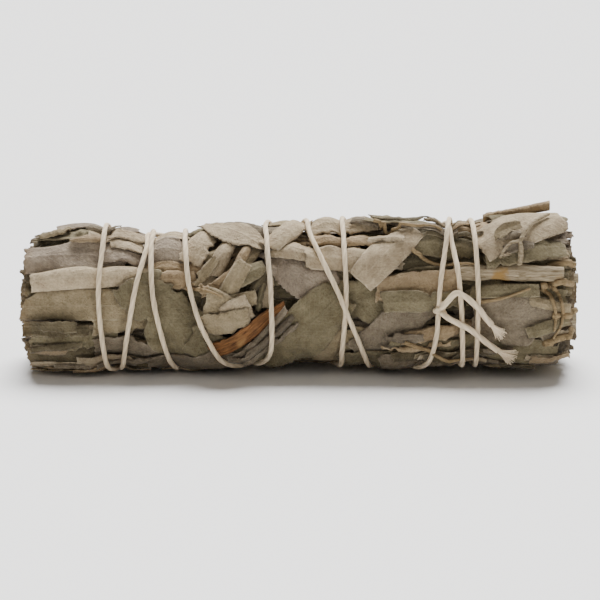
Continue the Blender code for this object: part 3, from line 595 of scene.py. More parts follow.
@dataclass(frozen=True)
class LeafFinish:
    """Dried white sage leaf: a thin blade felted with short pale hairs.

    The felt makes it matt with a soft sheen at grazing angles. It is mottled
    where hairs have rubbed off, wrinkled along its length as it dried, with
    faint side veins. Its rim is painted paler, a painted highlight where the
    edges catch the light, and is browned in patches. Rubbed patches, side
    veins, wrinkles and pits have their real sizes in mm. The real felt is finer
    than 0.1 mm, too fine to show, and is drawn coarser.
    """

    name: str
    slot: str
    base: str
    shade: str
    # rim: pale colour painted on the margin as a highlight where edges catch the light; the veins are
    # lightened towards it too.
    rim: str
    vein: float = 0.5
    mottle: float = 0.75
    speck: float = 0.6
    felt_mm: float = 0.6
    patch_mm: float = 4.5
    vein_mm: float = 1.9
    vein_slant: float = 1.1
    crease_mm: float = 1.5
    pit_mm: float = 1.1
    browned: str = "#4E3F2C"
    pit: str = "#3A2D1E"
    cut: str = "#6E5636"
    cut_from_mm: float = 72.5
    cut_full_mm: float = 77.0

    def material(self) -> bpy.types.Material:
        """Build the node material.

        Returns:
            The material, which reads Object coordinates and the leaf's own grid.
        """
        material = bpy.data.materials.new(self.name)
        material.use_nodes = True
        tree = material.node_tree
        shader = tree.nodes["Principled BSDF"]
        place = add_node(tree, "TexCoord", out="Object")
        along, across, rim, tint = (add_node(tree, "Attribute", {"attribute_name": name}, out="Fac")
                                    for name in MeshPile.FLOATS)
        patch = add_node(tree, "TexNoise", {"Scale": 1 / (self.patch_mm * MM), "Detail": 6.0,
                                            "Roughness": 0.65}, {"Vector": place})
        felt = add_node(tree, "TexNoise", {"Scale": 1 / (self.felt_mm * MM), "Detail": 3.0,
                                           "Roughness": 0.7}, {"Vector": place})
        crease = add_node(tree, "TexNoise", {"Scale": 1 / (self.crease_mm * MM), "Detail": 4.0,
                                             "Roughness": 0.6, "Distortion": 0.8}, {"Vector": place})
        long = add_node(tree, "Math", {"operation": "MULTIPLY", 1: 0.3}, {0: along})
        own = add_node(tree, "Math", {"operation": "MULTIPLY", 1: 37.0}, {0: tint})
        flat = add_node(tree, "CombineXYZ", {}, {0: long, 1: across, 2: own})
        streak = add_node(tree, "TexNoise", {"Scale": 1.1, "Detail": 5.0, "Roughness": 0.6,
                                             "Distortion": 0.4}, {"Vector": flat})
        mottle = add_node(tree, "MapRange", {"From Min": 0.4, "From Max": 0.62, "To Max": self.mottle},
                          {"Value": patch})
        side = add_node(tree, "Math", {"operation": "ABSOLUTE"}, {0: across})
        slant = add_node(tree, "Math", {"operation": "MULTIPLY_ADD", 1: -self.vein_slant},
                         {0: side, 2: along})
        phase = add_node(tree, "Math", {"operation": "MULTIPLY", 1: 2 * math.pi / self.vein_mm}, {0: slant})
        wave = add_node(tree, "Math", {"operation": "SINE"}, {0: phase})
        ribs = add_node(tree, "MapRange", {"From Min": 0.8, "From Max": 1.0, "To Max": self.vein},
                        {"Value": wave})
        middle = add_node(tree, "MapRange", {"From Min": 0.1, "From Max": 0.35, "To Min": 0.6,
                                             "To Max": 0.0}, {"Value": side})
        veins = add_node(tree, "Math", {"operation": "MAXIMUM"}, {0: ribs, 1: middle})
        # Within 0.42 mm of the margin the colour turns towards the pale rim colour, a painted highlight where
        # the edges catch the light, and in patches towards the real browned colour.
        edge = add_node(tree, "MapRange", {"From Min": 0.0, "From Max": 0.42, "To Min": 1.0, "To Max": 0.0},
                        {"Value": rim})
        browned = add_node(tree, "MapRange", {"From Min": 0.44, "From Max": 0.56, "To Max": 0.85},
                           {"Value": patch})
        rim_highlight_and_browning = add_node(tree, "Mix", {"data_type": "RGBA", 6: rgba(self.rim), 7: rgba(self.browned)},
                               {0: browned}, out=2)
        edge = add_node(tree, "Math", {"operation": "MULTIPLY", 1: 0.7}, {0: edge})
        specks = add_node(tree, "TexVoronoi", {"Scale": 1 / (self.pit_mm * MM)}, {"Vector": place})
        dots = add_node(tree, "MapRange", {"From Min": 0.08, "From Max": 0.2, "To Min": self.speck,
                                           "To Max": 0.0}, {"Value": specks})
        worn = add_node(tree, "Math", {"operation": "MULTIPLY"}, {0: dots, 1: patch})
        colour = add_node(tree, "Mix", {"data_type": "RGBA", 6: rgba(self.base), 7: rgba(self.shade)},
                          {0: mottle}, out=2)
        lines = add_node(tree, "MapRange", {"From Min": 0.42, "From Max": 0.7, "To Max": 0.3},
                         {"Value": streak})
        colour = add_node(tree, "Mix", {"data_type": "RGBA", 7: rgba(self.shade)}, {0: lines, 6: colour},
                          out=2)
        colour = add_node(tree, "Mix", {"data_type": "RGBA"}, {0: edge, 6: colour, 7: rim_highlight_and_browning}, out=2)
        light = add_node(tree, "Math", {"operation": "MULTIPLY", 1: 0.22}, {0: veins})
        colour = add_node(tree, "Mix", {"data_type": "RGBA", 7: rgba(self.rim)}, {0: light, 6: colour},
                          out=2)
        colour = add_node(tree, "Mix", {"data_type": "RGBA", 7: rgba(self.pit)}, {0: worn, 6: colour},
                          out=2)
        far = add_node(tree, "SeparateXYZ", {}, {0: place})
        far = add_node(tree, "Math", {"operation": "ABSOLUTE"}, {0: far})
        far = add_node(tree, "Math", {"operation": "MULTIPLY_ADD", 1: 4 * MM}, {0: crease, 2: far})
        cut = add_node(tree, "MapRange", {"From Min": self.cut_from_mm * MM,
                                          "From Max": self.cut_full_mm * MM, "To Max": 0.75},
                       {"Value": far})
        colour = add_node(tree, "Mix", {"data_type": "RGBA", 7: rgba(self.cut)}, {0: cut, 6: colour}, out=2)
        grain = add_node(tree, "MapRange", {"From Min": 0.25, "From Max": 0.75, "To Min": 0.78,
                                            "To Max": 1.22}, {"Value": felt})
        value = add_node(tree, "Math", {"operation": "MULTIPLY"}, {0: grain, 1: tint})
        colour = add_node(tree, "VectorMath", {"operation": "SCALE"}, {0: colour, "Scale": value})
        relief = add_node(tree, "Math", {"operation": "MULTIPLY_ADD", 1: 2.2}, {0: crease, 2: felt})
        relief = add_node(tree, "Math", {"operation": "MULTIPLY_ADD", 1: 0.9}, {0: streak, 2: relief})
        relief = add_node(tree, "Math", {"operation": "MULTIPLY_ADD", 1: 0.4}, {0: veins, 2: relief})
        bump = add_node(tree, "Bump", {"Strength": 0.9, "Distance": 0.32 * MM}, {"Height": relief})
        tree.links.new(colour, shader.inputs["Base Color"])
        tree.links.new(bump, shader.inputs["Normal"])
        shader.inputs["Roughness"].default_value = 0.88
        shader.inputs["Specular IOR Level"].default_value = 0.2
        shader.inputs["Sheen Weight"].default_value = 0.08
        shader.inputs["Sheen Roughness"].default_value = 0.5
        return material


@dataclass(frozen=True)
class WoodFinish:
    """Dry sage stem: thin pale bark with fibres along it, and a pithy cut end.

    The fibres are drawn out along the stem, or along its own grid where a strip
    lies slantwise. Real ones are about 0.1 mm thick and are drawn coarser.
    """

    name: str
    slot: str
    base: str
    shade: str
    patch: str
    patch_share: float = 0.2
    fibre_mm: float = 0.5
    own_grid: bool = False
    drawn_out: float = 0.12
    patch_mm: float = 5.5
    pith: str = "#8A7250"

    def material(self) -> bpy.types.Material:
        """Build the node material, with its fibres drawn out along the stem.

        Returns:
            The material. A tint over 1 brings the patch colour out, and the rim shows the pith.
        """
        material = bpy.data.materials.new(self.name)
        material.use_nodes = True
        tree = material.node_tree
        shader = tree.nodes["Principled BSDF"]
        place = add_node(tree, "TexCoord", out="Object")
        if self.own_grid:
            along, across = (add_node(tree, "Attribute", {"attribute_name": name}, out="Fac")
                             for name in ("along", "across"))
            flat = add_node(tree, "CombineXYZ", {}, {0: along, 1: across})
            place = add_node(tree, "VectorMath", {"operation": "SCALE", "Scale": MM}, {0: flat})
        long = add_node(tree, "Mapping", {"Scale": (self.drawn_out, 1.0, 1.0)}, {"Vector": place})
        fibre = add_node(tree, "TexNoise", {"Scale": 1 / (self.fibre_mm * MM), "Detail": 4.0,
                                            "Roughness": 0.65}, {"Vector": long})
        patch = add_node(tree, "TexNoise", {"Scale": 1 / (self.patch_mm * MM), "Detail": 3.0},
                         {"Vector": place})
        tint = add_node(tree, "Attribute", {"attribute_name": "tint"}, out="Fac")
        spot = add_node(tree, "Math", {"operation": "MULTIPLY_ADD", 1: 0.5, 2: -0.5}, {0: tint})
        patch = add_node(tree, "Math", {"operation": "ADD"}, {0: patch, 1: spot})
        blotch = add_node(tree, "MapRange", {"From Min": 0.7 - self.patch_share * 0.5, "From Max": 0.86,
                                             "To Max": 0.85}, {"Value": patch})
        grain = add_node(tree, "MapRange", {"From Min": 0.35, "From Max": 0.7}, {"Value": fibre})
        colour = add_node(tree, "Mix", {"data_type": "RGBA", 6: rgba(self.base), 7: rgba(self.shade)},
                          {0: grain}, out=2)
        colour = add_node(tree, "Mix", {"data_type": "RGBA", 7: rgba(self.patch)}, {0: blotch, 6: colour},
                          out=2)
        rim = add_node(tree, "Attribute", {"attribute_name": "rim"}, out="Fac")
        pith = add_node(tree, "MapRange", {"From Min": 0.5, "From Max": 1.0}, {"Value": rim})
        colour = add_node(tree, "Mix", {"data_type": "RGBA", 7: rgba(self.pith)}, {0: pith, 6: colour},
                          out=2)
        bump = add_node(tree, "Bump", {"Strength": 0.9, "Distance": 0.35 * MM}, {"Height": fibre})
        tree.links.new(colour, shader.inputs["Base Color"])
        tree.links.new(bump, shader.inputs["Normal"])
        shader.inputs["Roughness"].default_value = 0.8
        shader.inputs["Specular IOR Level"].default_value = 0.3
        return material


@dataclass(frozen=True)
class CottonFinish:
    """Undyed cotton string, three plies twisted: matt, off-white, a little fuzzy.

    A cotton fibre is about 0.02 mm thick, too fine to show, and is drawn coarser.
    """

    name: str = "undyed twisted cotton"
    slot: str = "cotton"
    base: str = "#F5E2C3"
    # shade: colour of the painted shade in the grooves, and of the dirt.
    shade: str = "#A08A68"
    fibre_mm: float = 0.22
    dirt_mm: float = 9.0

    def material(self) -> bpy.types.Material:
        """Build the node material: fine fibres, painted shade in each groove between the plies, and patches
        of dirt.

        Returns:
            The material, whose rim attribute is 1 in a groove.
        """
        material = bpy.data.materials.new(self.name)
        material.use_nodes = True
        tree = material.node_tree
        shader = tree.nodes["Principled BSDF"]
        place = add_node(tree, "TexCoord", out="Object")
        groove_shade = add_node(tree, "Attribute", {"attribute_name": "rim"}, out="Fac")
        fibre = add_node(tree, "TexNoise", {"Scale": 1 / (self.fibre_mm * MM), "Detail": 4.0,
                                            "Roughness": 0.75}, {"Vector": place})
        dirt = add_node(tree, "TexNoise", {"Scale": 1 / (self.dirt_mm * MM), "Detail": 2.0},
                        {"Vector": place})
        soft = add_node(tree, "MapRange", {"From Min": 0.35, "From Max": 0.7, "To Max": 0.2},
                        {"Value": dirt})
        # Painted shade in the grooves between plies, plus the real dirt.
        deep = add_node(tree, "Math", {"operation": "MULTIPLY_ADD", 1: 0.35}, {0: groove_shade, 2: soft})
        colour = add_node(tree, "Mix", {"data_type": "RGBA", 6: rgba(self.base), 7: rgba(self.shade)},
                          {0: deep}, out=2)
        bump = add_node(tree, "Bump", {"Strength": 0.6, "Distance": 0.12 * MM}, {"Height": fibre})
        tree.links.new(colour, shader.inputs["Base Color"])
        tree.links.new(bump, shader.inputs["Normal"])
        shader.inputs["Roughness"].default_value = 0.92
        shader.inputs["Specular IOR Level"].default_value = 0.2
        shader.inputs["Sheen Weight"].default_value = 0.25
        return material


# Leaves with all their felt: pale, matt and even.
PALE = LeafFinish("felted pale sage leaf", "pale_leaf", "#B8A78A", "#94836A", "#D0C0A6")
BEIGE = LeafFinish("felted beige sage leaf", "olive_leaf", "#9C8D70", "#7B6D53", "#B7A98D")
# Leaf bits that lost their felt: warmer and papery.
TAN = LeafFinish("tan papery sage leaf", "pale_leaf", "#A59071", "#806C50", "#BDA888")
# Upper sides, where the dried green shows through: from lilac-grey to dark olive.
LILAC = LeafFinish("felted lilac-grey sage leaf", "grey_leaf", "#9C8E7B", "#786B5C", "#B6A899")
GREY = LeafFinish("felted brown-grey sage leaf", "grey_leaf", "#857966", "#655A49", "#A59986")
OLIVE = LeafFinish("felted olive sage leaf", "olive_leaf", "#80765C", "#5F563F", "#9D9176")
DARK = LeafFinish("worn dark olive sage leaf", "olive_leaf", "#675D47", "#463E2D", "#8A7F66", 0.3, 0.8, 0.8)
# Woody stems: grey and satin, with one golden patch where the outer one is rubbed.
STEM = WoodFinish("dry pale sage stem", "stem_wood", "#A89A80", "#68583F", "#8E6C36", 0.0)
# Bark peeled off an old stem: the one warm colour of the bunch, with dark fibres.
BARK = WoodFinish("peeled orange bark", "bark", "#8F6239", "#2E1C10", "#B08A5A", 0.3, 0.55, True)
# Stalks of single leaves: thin, straw-coloured.
STALK = WoodFinish("dry leaf stalk", "stem_wood", "#9C8764", "#715E42", "#78542E", 0.1, 0.4)


class Edge(Enum):
    """How a leaf's ends and sides came about: as it grew, cut with shears, or torn."""

    WHOLE = "whole"
    CUT = "cut"
    TORN = "torn"


# How far the ends of a leaf stray, mm.
END_JAG = {Edge.WHOLE: 0.15, Edge.CUT: 0.35, Edge.TORN: 0.9}


@dataclass(frozen=True)
class Leaf:
    """One leaf on the bunch: its middle, flat size in mm, heading and shape.

    x is in mm, and angle, heading and bend are in degrees. bend is the angle of
    the arc that half its width makes across: over 0 the middle stands up, below
    0 the edges do. cad is the number of the CAD leaf that it stands for, or 0.
    butt and tip are the widths of its ends as shares of width,
    and bow bends it sideways. wave and frill are how far its surface and its
    sides undulate, mm. fold is the steepest slope of its fold_count folds. gap
    is the room under it, lift_butt and lift_tip raise its ends, mm. A bite is
    its place and span along the leaf, depth as a share of width, and side. stiff
    is the length over which it doesn't bend, mm, and hairs their number a mm.
    """

    x: float
    angle: float
    length: float
    width: float
    heading: float = 0.0
    edge: Edge = Edge.TORN
    bend: float = 12.0
    finish: LeafFinish = GREY
    cad: int = 0
    butt: float = 0.75
    tip: float = 0.35
    bow: float = 0.0
    wave: float = 0.35
    frill: float = 0.6
    fold: float = 0.28
    fold_count: int = 3
    gap: float = 0.12
    lift_butt: float = 0.0
    lift_tip: float = 0.0
    bites: tuple = ()
    tint: float = 1.0
    thickness: float = 0.42
    stiff: float = 3.0
    hairs: float = 0.0

    @property
    def nodes(self) -> tuple[str, ...]:
        """The CAD node that the leaf stands for, if any."""
        return (f"outer_leaf_{self.cad:02d}",) if self.cad else ()


@dataclass
class LeafMaker:
    """Lays leaves on the pile one after the other, as sheets on a fine grid."""

    space: BunchSpace
    pile: Pile
    settle_rounds: int = 9
    hair_thick: float = 0.07

    def half_width(self, leaf: Leaf, u: np.ndarray, noise: Noise, side: float) -> np.ndarray:
        """Half the flat width along the leaf.

        A belly, the sine of the place along it, is blended with the widths of
        its two ends. The edge then gets scallops on a whole leaf, or ragged
        noise on a cut or torn one, and any bites.

        Args:
            leaf: the leaf.
            u: places along it, from 0 to 1.
            noise: the leaf's own noise.
            side: -1 for one side, 1 for the other.

        Returns:
            Half the width at each place, mm.
        """
        belly = np.sin(math.pi * np.clip(0.1 + 0.8 * u, 0, 1)) ** 0.7
        ends = leaf.butt + (leaf.tip - leaf.butt) * u
        share = ends + (1 - ends) * belly
        place = u * leaf.length + 40 * side
        if leaf.edge is Edge.WHOLE:
            share = np.maximum(np.sin(math.pi * np.clip(u, 0.004, 0.996)), 0) ** 0.62
            share = np.maximum(share, leaf.butt * (1 - u) ** 3)
            share = share * (1 + 0.03 * np.sin(place * 4.2)) + 0.04 * noise.at(place, 3.0 + side, 3.0)
        else:
            share = share * (1 + 0.12 * noise.at(place, 5.0 + side, 7.0))
        for middle, span, depth, which in leaf.bites:
            if which == side:
                share -= depth * np.exp(-((u - middle) / span) ** 2)
        half = 0.5 * leaf.width * np.maximum(share, 0.05)
        if leaf.edge is Edge.TORN:
            torn = smooth_step(noise.at(place, 17.0 + side, 6.0), -0.2, 0.5)
            half = half + (0.15 + 0.6 * torn) * noise.rough(place, 11.0 + side, 1.0)
            half = half - 1.3 * torn * smooth_step(noise.at(place, 27.0 + side, 2.6), 0.35, 0.6)
        return np.maximum(half, 0.15)

    def folds(self, leaf: Leaf, long: np.ndarray, flat: np.ndarray, seed: int) -> np.ndarray:
        """Rise from the leaf's folds.

        Each fold is a straight line across the flat leaf: past it the leaf
        tilts, so its rise is the slope times the distance past the line.

        Args:
            leaf: the leaf.
            long: places along it, mm.
            flat: places across it, mm.
            seed: number that fixes the folds.

        Returns:
            The rise on the leaf's grid, mm.
        """
        rng = np.random.default_rng(seed)
        rise = np.zeros(np.broadcast_shapes(long.shape, flat.shape))
        for _ in range(leaf.fold_count):
            turn = rng.uniform(-0.5, 0.5)
            place_long = rng.uniform(0.15, 0.85) * leaf.length
            place_flat = rng.uniform(-0.3, 0.3) * leaf.width
            past = (flat - place_flat) * math.cos(turn) - (long - place_long) * math.sin(turn)
            past = past * rng.choice((-1.0, 1.0))
            rise += rng.uniform(-leaf.fold, leaf.fold) * np.clip(past, 0, 0.35 * leaf.width)
        return rise

    def sheet(self, leaf: Leaf, seed: int, cell: float = 0.45) -> dict[str, np.ndarray]:
        """Work out one leaf and lay it on the pile.

        The flat leaf is bent to an arc across, with radius half its width over
        the bend. The sheet then settles: its radius is the pile's, smoothed
        over its stiffness again and again and never below the pile.

        Args:
            leaf: the leaf.
            seed: number that fixes its random shape.
            cell: size of a grid cell, mm.

        Returns:
            The grids of middle points, thickness, along, across, rim and tint.
        """
        noise = Noise(seed)
        rows = max(int(leaf.length / cell), 6) + 1
        columns = 2 * max(int(leaf.width / cell / 2), 2) + 1
        u = np.linspace(0, 1, rows)[:, None]
        v = np.linspace(-1, 1, columns)[None, :]
        left = self.half_width(leaf, u[:, 0], noise, -1.0)[:, None]
        right = self.half_width(leaf, u[:, 0], noise, 1.0)[:, None]
        flat = np.where(v < 0, v * left, v * right)
        bend = math.radians(leaf.bend) if abs(leaf.bend) > 1 else math.radians(1)
        ring = 0.5 * leaf.width / abs(bend)
        around = flat / ring
        across = ring * np.sin(around)
        if bend > 0:
            rise = ring * (np.cos(around) - np.minimum(np.cos(left / ring), np.cos(right / ring)))
        else:
            rise = ring * (1 - np.cos(around))
        jag = END_JAG[leaf.edge]
        ends = (noise.rough(flat, 21.0, 1.6) * (1 - u) ** 6 + noise.rough(flat, 33.0, 1.6) * u ** 6) * jag
        slant = 0.25 * noise.at(np.array(3.0), np.array(9.0), 1.0) * flat * ((1 - u) ** 3 - u ** 3)
        along = (u - 0.5) * leaf.length + ends + slant
        across = across + leaf.bow * leaf.length * (u - 0.5) ** 2
        heading = math.radians(leaf.heading)
        x = leaf.x + along * math.cos(heading) - across * math.sin(heading)
        angle = math.radians(leaf.angle) + (along * math.sin(heading) + across * math.cos(heading)) / ROUND
        long = u * leaf.length
        ridges = 1 - np.abs(noise.at(long / 2.5 + 50, flat + 0.25 * long, 3.4))
        ridges = ridges - np.abs(noise.at(long, flat, 5.5))
        rise = rise + leaf.wave * (0.6 + 0.6 * ridges + 0.6 * noise.at(long / 2.5 + 5, flat + 9, 3.2)
                                   + 0.25 * noise.at(long, flat, 1.9) * (0.4 + np.abs(v)))
        rise = rise + self.folds(leaf, long, flat, seed)
        lifted = 0.35 + noise.at(long + 30, 9.0 * np.sign(v), 9.0)
        rise = rise + 1.5 * leaf.frill * smooth_step(np.abs(v), 0.35, 1.15) * lifted
        rise = rise + 0.1 * np.exp(-(flat / 0.45) ** 2)
        rise = rise + leaf.lift_butt * (1 - u) ** 3 + leaf.lift_tip * u ** 3
        floor = self.pile.at(x, angle) + leaf.gap - rise
        reach = max(int(leaf.stiff / cell), 1)
        base = floor
        for _ in range(self.settle_rounds):
            base = np.maximum(blur(base, reach), floor)
        base = np.maximum(blur(base, 1), floor - 0.1)
        radius = base + rise + 0.5 * leaf.thickness
        self.pile.lift(x, angle, radius + 0.5 * leaf.thickness)
        margin = np.minimum(long, leaf.length - long)
        margin = np.minimum(margin, np.where(v < 0, left + flat, right - flat))
        margin = np.maximum(margin, 0)
        thick = leaf.thickness * (0.5 + 0.5 * smooth_step(margin, 0.0, 0.7))
        return {"middle": self.space.place(x, angle, radius), "thickness": thick, "along": long + 0 * flat,
                "across": flat + 0 * long, "rim": margin, "tint": leaf.tint + 0 * margin}

    def add(self, mesh: MeshPile, leaf: Leaf, seed: int, cell: float = 0.45) -> None:
        """Lay one leaf and add it to a mesh.

        Args:
            mesh: the mesh.
            leaf: the leaf.
            seed: number that fixes its random shape.
            cell: size of a grid cell, mm.
        """
        parts = self.sheet(leaf, seed, cell)
        middle = parts.pop("middle")
        mesh.sheet(middle, parts.pop("thickness"), **parts)
        if leaf.hairs:
            self.border_hairs(mesh, middle, leaf, seed)

    def border_hairs(self, mesh: MeshPile, middle: np.ndarray, leaf: Leaf, seed: int) -> None:
        """Short felt hairs along both sides of a leaf, pointing away from it.

        Args:
            mesh: the mesh that gets them.
            middle: the leaf's grid of middle points, metres.
            leaf: the leaf.
            seed: number that fixes their places.
        """
        rng = np.random.default_rng(seed)
        for edge, inside in ((0, 1), (-1, -2)):
            border, away = middle[:, edge], middle[:, edge] - middle[:, inside]
            away = away / np.maximum(np.linalg.norm(away, axis=1, keepdims=True), 1e-12)
            count = int(leaf.length * leaf.hairs)
            place = rng.uniform(0, len(border) - 1.001, count)
            low, share = place.astype(int), (place % 1)[:, None]
            roots = border[low] * (1 - share) + border[low + 1] * share
            reach = away[low] * rng.uniform(0.12, 0.4, (count, 1)) + rng.normal(0, 0.09, (count, 3))
            mesh.spikes(roots, reach * MM, self.hair_thick, rim=0.2, across=3.0, tint=leaf.tint)


@dataclass
class Dresser:
    """Makes each finish's material once, and tells the frame about every piece."""

    made: dict = field(default_factory=dict)

    def dress(self, obj: bpy.types.Object, finish: LeafFinish | WoodFinish | CottonFinish,
              nodes: tuple = ()) -> None:
        """Give a piece its finish, its body and the nodes it stands for.

        Args:
            obj: the piece.
            finish: its finish.
            nodes: names of the CAD nodes that it replaces.
        """
        if finish.name not in self.made:
            self.made[finish.name] = finish.material()
        obj.data.materials.append(self.made[finish.name])
        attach(obj, ROOT)
        if nodes:
            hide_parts(*nodes)
        LOG.info("%s: %d faces, %s", obj.name, len(obj.data.polygons), finish.name)


@dataclass
class LeafyStems:
    """The seven leafy stems: a core each, painted dark as shade deep in the bunch, layers of leaves
    round it, and cut leaf ends.

    Six are slices round the seventh, whose slice is the whole turn. Depths and
    reaches are in mm, and fill is how far under the cone the layers stop.
    """

    maker: LeafMaker
    dresser: Dresser
    core_depth: float = 6.6
    leaves_each: int = 40
    ends_each: int = 17
    ends_apart: float = 1.45
    fill: float = -1.9
    core_reach: float = 70.5
    middle_core: float = 6.4
    middle_ends: float = 5.6
    roll_from: float = 61.0
    end_dome: float = 4.5
    rolled_share: float = 0.45

    def core(self, mesh: MeshPile, middle: float, half_angle: float) -> None:
        """Core of a stem: a slice of the cone, as a tube of quads closed at both ends.

        Args:
            mesh: the mesh that gets it.
            middle: the slice's middle angle, radians.
            half_angle: half its angle, radians: pi for the stem in the middle.
        """
        space = self.maker.space
        x = np.linspace(-self.core_reach, self.core_reach, 12)
        if half_angle == math.pi:
            shape = [(share, 1.0) for share in np.linspace(-1, 1, 16, endpoint=False)]
            top = np.full((len(x), 1), self.middle_core)
        else:
            shape = [(share, 1.0) for share in np.linspace(-1, 1, 9)]
            shape += [(0.9, 0.35), (0.0, 0.3), (-0.9, 0.35)]
            top = space.envelope(x)[:, None] - self.core_depth
        angles = np.array([middle + share * half_angle for share, _ in shape])
        shares = np.array([depth for _, depth in shape])
        points = space.place(x[:, None], angles[None, :], top * shares[None, :])
        count = len(shape)
        index = np.arange(len(x) * count).reshape(len(x), count)
        around = np.roll(index, -1, axis=1)
        quads = np.stack([index[:-1], index[1:], around[1:], around[:-1]], -1).reshape(-1, 4)
        caps = [index[0].tolist(), index[-1, ::-1].tolist()]
        # The tint of 0.3 paints the core dark: shade deep in the bunch.
        mesh.add(points.reshape(-1, 3), quads, caps, rim=9.0, across=5.0, tint=0.3)

    def ends(self, mesh: MeshPile, middle: float, half_angle: float, rng: np.random.Generator) -> None:
        """Cut ends of rolled and stacked leaves at both ends of a stem.

        Args:
            mesh: the mesh that gets them.
            middle: the stem's middle angle, radians.
            half_angle: half its slice's angle, radians: pi for the stem in the middle.
            rng: source of chance.
        """
        for side in (-1, 1):
            spots: list[tuple[float, float]] = []
            for _ in range(900):
                if len(spots) == self.ends_each:
                    break
                if half_angle == math.pi:
                    radius = self.middle_ends * math.sqrt(rng.uniform(0, 1))
                    angle = rng.uniform(-math.pi, math.pi)
                else:
                    radius = math.sqrt(rng.uniform(7.0 ** 2, 13.6 ** 2))
                    room = half_angle - 1.0 / radius
                    angle = middle + rng.uniform(-room, room)
                spot = (-radius * math.cos(angle), radius * math.sin(angle))
                if any(math.dist(spot, other) < self.ends_apart for other in spots):
                    continue
                spots.append(spot)
                self.end_roll(mesh, spot, radius, angle, side, rng)

    def end_roll(self, mesh: MeshPile, spot: tuple[float, float], radius: float, angle: float, side: int,
                 rng: np.random.Generator) -> None:
        """One cut leaf end, standing out of an end of the bunch.

        In the cross-section it is a spiral, whose radius grows evenly with the
        angle turned, or a shallow arc that lies with the leaves round it. It is
        carried along x and ends near the plane of the cut, with a ragged edge.

        Args:
            mesh: the mesh that gets it.
            spot: its middle across the bunch, mm.
            radius: how far that is from the middle line, mm.
            angle: the spot's angle, radians.
            side: 1 for the stem end, -1 for the other.
            rng: source of chance.
        """
        space = self.maker.space
        rolled = rng.uniform() < self.rolled_share
        if rolled:
            small, grow = rng.uniform(0.4, 0.7), rng.uniform(0.08, 0.2)
            sweep, start = rng.uniform(1.3 * math.pi, 2.8 * math.pi), rng.uniform(0, 2 * math.pi)
        else:
            small, grow = rng.uniform(2.6, 6.5), 0.0
            sweep = rng.uniform(2.6, 5.0) / small
            start = math.pi - angle - 0.5 * sweep + rng.uniform(-0.5, 0.5)
        turn = np.linspace(0, sweep, 22)[None, :]
        deep = np.linspace(0, 1, 7)[:, None]
        ring = small + grow * turn
        half = start + sweep / 2
        centre = (0.0, 0.0) if rolled else (small * math.cos(half), small * math.sin(half))
        dome = self.end_dome * (radius / ROUND) ** 2
        last = space.half_length - dome - abs(rng.normal(0.0, 0.7))
        noise = Noise(int(rng.integers(1 << 30)))
        ragged = 0.6 * noise.rough(turn * ring, 4.0, 1.1) * deep ** 4
        x = side * (self.roll_from + (last - self.roll_from) * deep + ragged)
        flare = 1 + 0.14 * deep ** 2 * noise.at(turn * 2, 8.0, 1.0)
        y = spot[0] - centre[0] + ring * flare * np.cos(start + turn)
        z = spot[1] - centre[1] + ring * flare * np.sin(start + turn)
        y, z = y + space.shift[1] + 0 * x, z + space.axis_height(x)
        points = np.stack([x + space.shift[0], y, z], -1) * MM
        middle = points if side > 0 else points[:, ::-1]
        along = (1 - deep) * 12 + 0 * turn
        rim = (1 - deep) * 10 + 0 * turn
        # Random tone, darker further in from the cut end: painted shade deep in the bunch.
        tint = rng.uniform(0.7, 1.15) * (0.35 + 0.65 * deep ** 2) + 0 * turn
        mesh.sheet(middle, np.full(x.shape, 0.42), along=along, across=0.8 + 0 * along, rim=rim, tint=tint)

    def pick(self, middle: float, layer: int, rng: np.random.Generator) -> Leaf | None:
        """Choose the next leaf of a stem: of several drawn by chance, the one over the lowest pile.

        Args:
            middle: the stem's middle angle, degrees.
            layer: number of the layer.
            rng: source of chance.

        Returns:
            The leaf, or None where the pile is already full.
        """
        best, lowest = None, self.fill
        for _ in range(7):
            length = rng.uniform(16, 36)
            end = 73.0 - length / 2
            share = layer / self.leaves_each
            x = rng.uniform(-end, end)
            if rng.uniform() < 0.45:
                x = math.copysign(end + 1.2 - 2.4 * share - abs(rng.normal(0, 1.7)), x)
            angle = middle + rng.uniform(-27, 27)
            probe_x = np.linspace(x - 0.4 * length, x + 0.4 * length, 9)
            probe_a = np.radians([[angle - 7], [angle], [angle + 7]])
            over = float((self.maker.pile.at(probe_x[None, :] + 0 * probe_a, probe_a + 0 * probe_x)
                          - self.maker.space.envelope(probe_x)).mean())
            if over < lowest:
                lowest = over
                # The lower layers get a darker tint, painted shade deep in the bunch, times a random tone.
                best = Leaf(x, angle, length, rng.uniform(4, 10), rng.uniform(-6, 6), Edge.TORN,
                            rng.uniform(-70, 80), butt=0.8, tip=rng.uniform(0.4, 0.9), thickness=0.36,
                            wave=0.6, tint=rng.uniform(0.6, 1.05) * (0.7 + 0.3 * share),
                            lift_tip=rng.uniform(0, 0.6), lift_butt=rng.uniform(0, 0.5),
                            bow=rng.uniform(-0.12, 0.12))
        return best

    def build(self) -> None:
        """Build all seven, with their layers of leaves laid in turn all round."""
        rng = np.random.default_rng(41)
        finishes = (BEIGE, GREY, OLIVE, LILAC, DARK, TAN)
        meshes = [MeshPile() for _ in range(7)]
        for number in range(6):
            middle = math.radians(-90 + 60 * number)
            self.core(meshes[number], middle, math.radians(29.3))
            self.ends(meshes[number], middle, math.radians(30), rng)
        self.core(meshes[6], 0.0, math.pi)
        self.ends(meshes[6], 0.0, math.pi, rng)
        for layer in range(self.leaves_each):
            for number in range(6):
                leaf = self.pick(-90 + 60 * number, layer, rng)
                if leaf:
                    self.maker.add(meshes[number], leaf, 900 + 7 * layer + 101 * number, 0.8)
        for number, mesh in enumerate(meshes):
            name = f"leafy_stem_{number + 1}"
            obj = mesh.build("fine_" + name)
            self.dresser.dress(obj, finishes[number % 6], (name,))


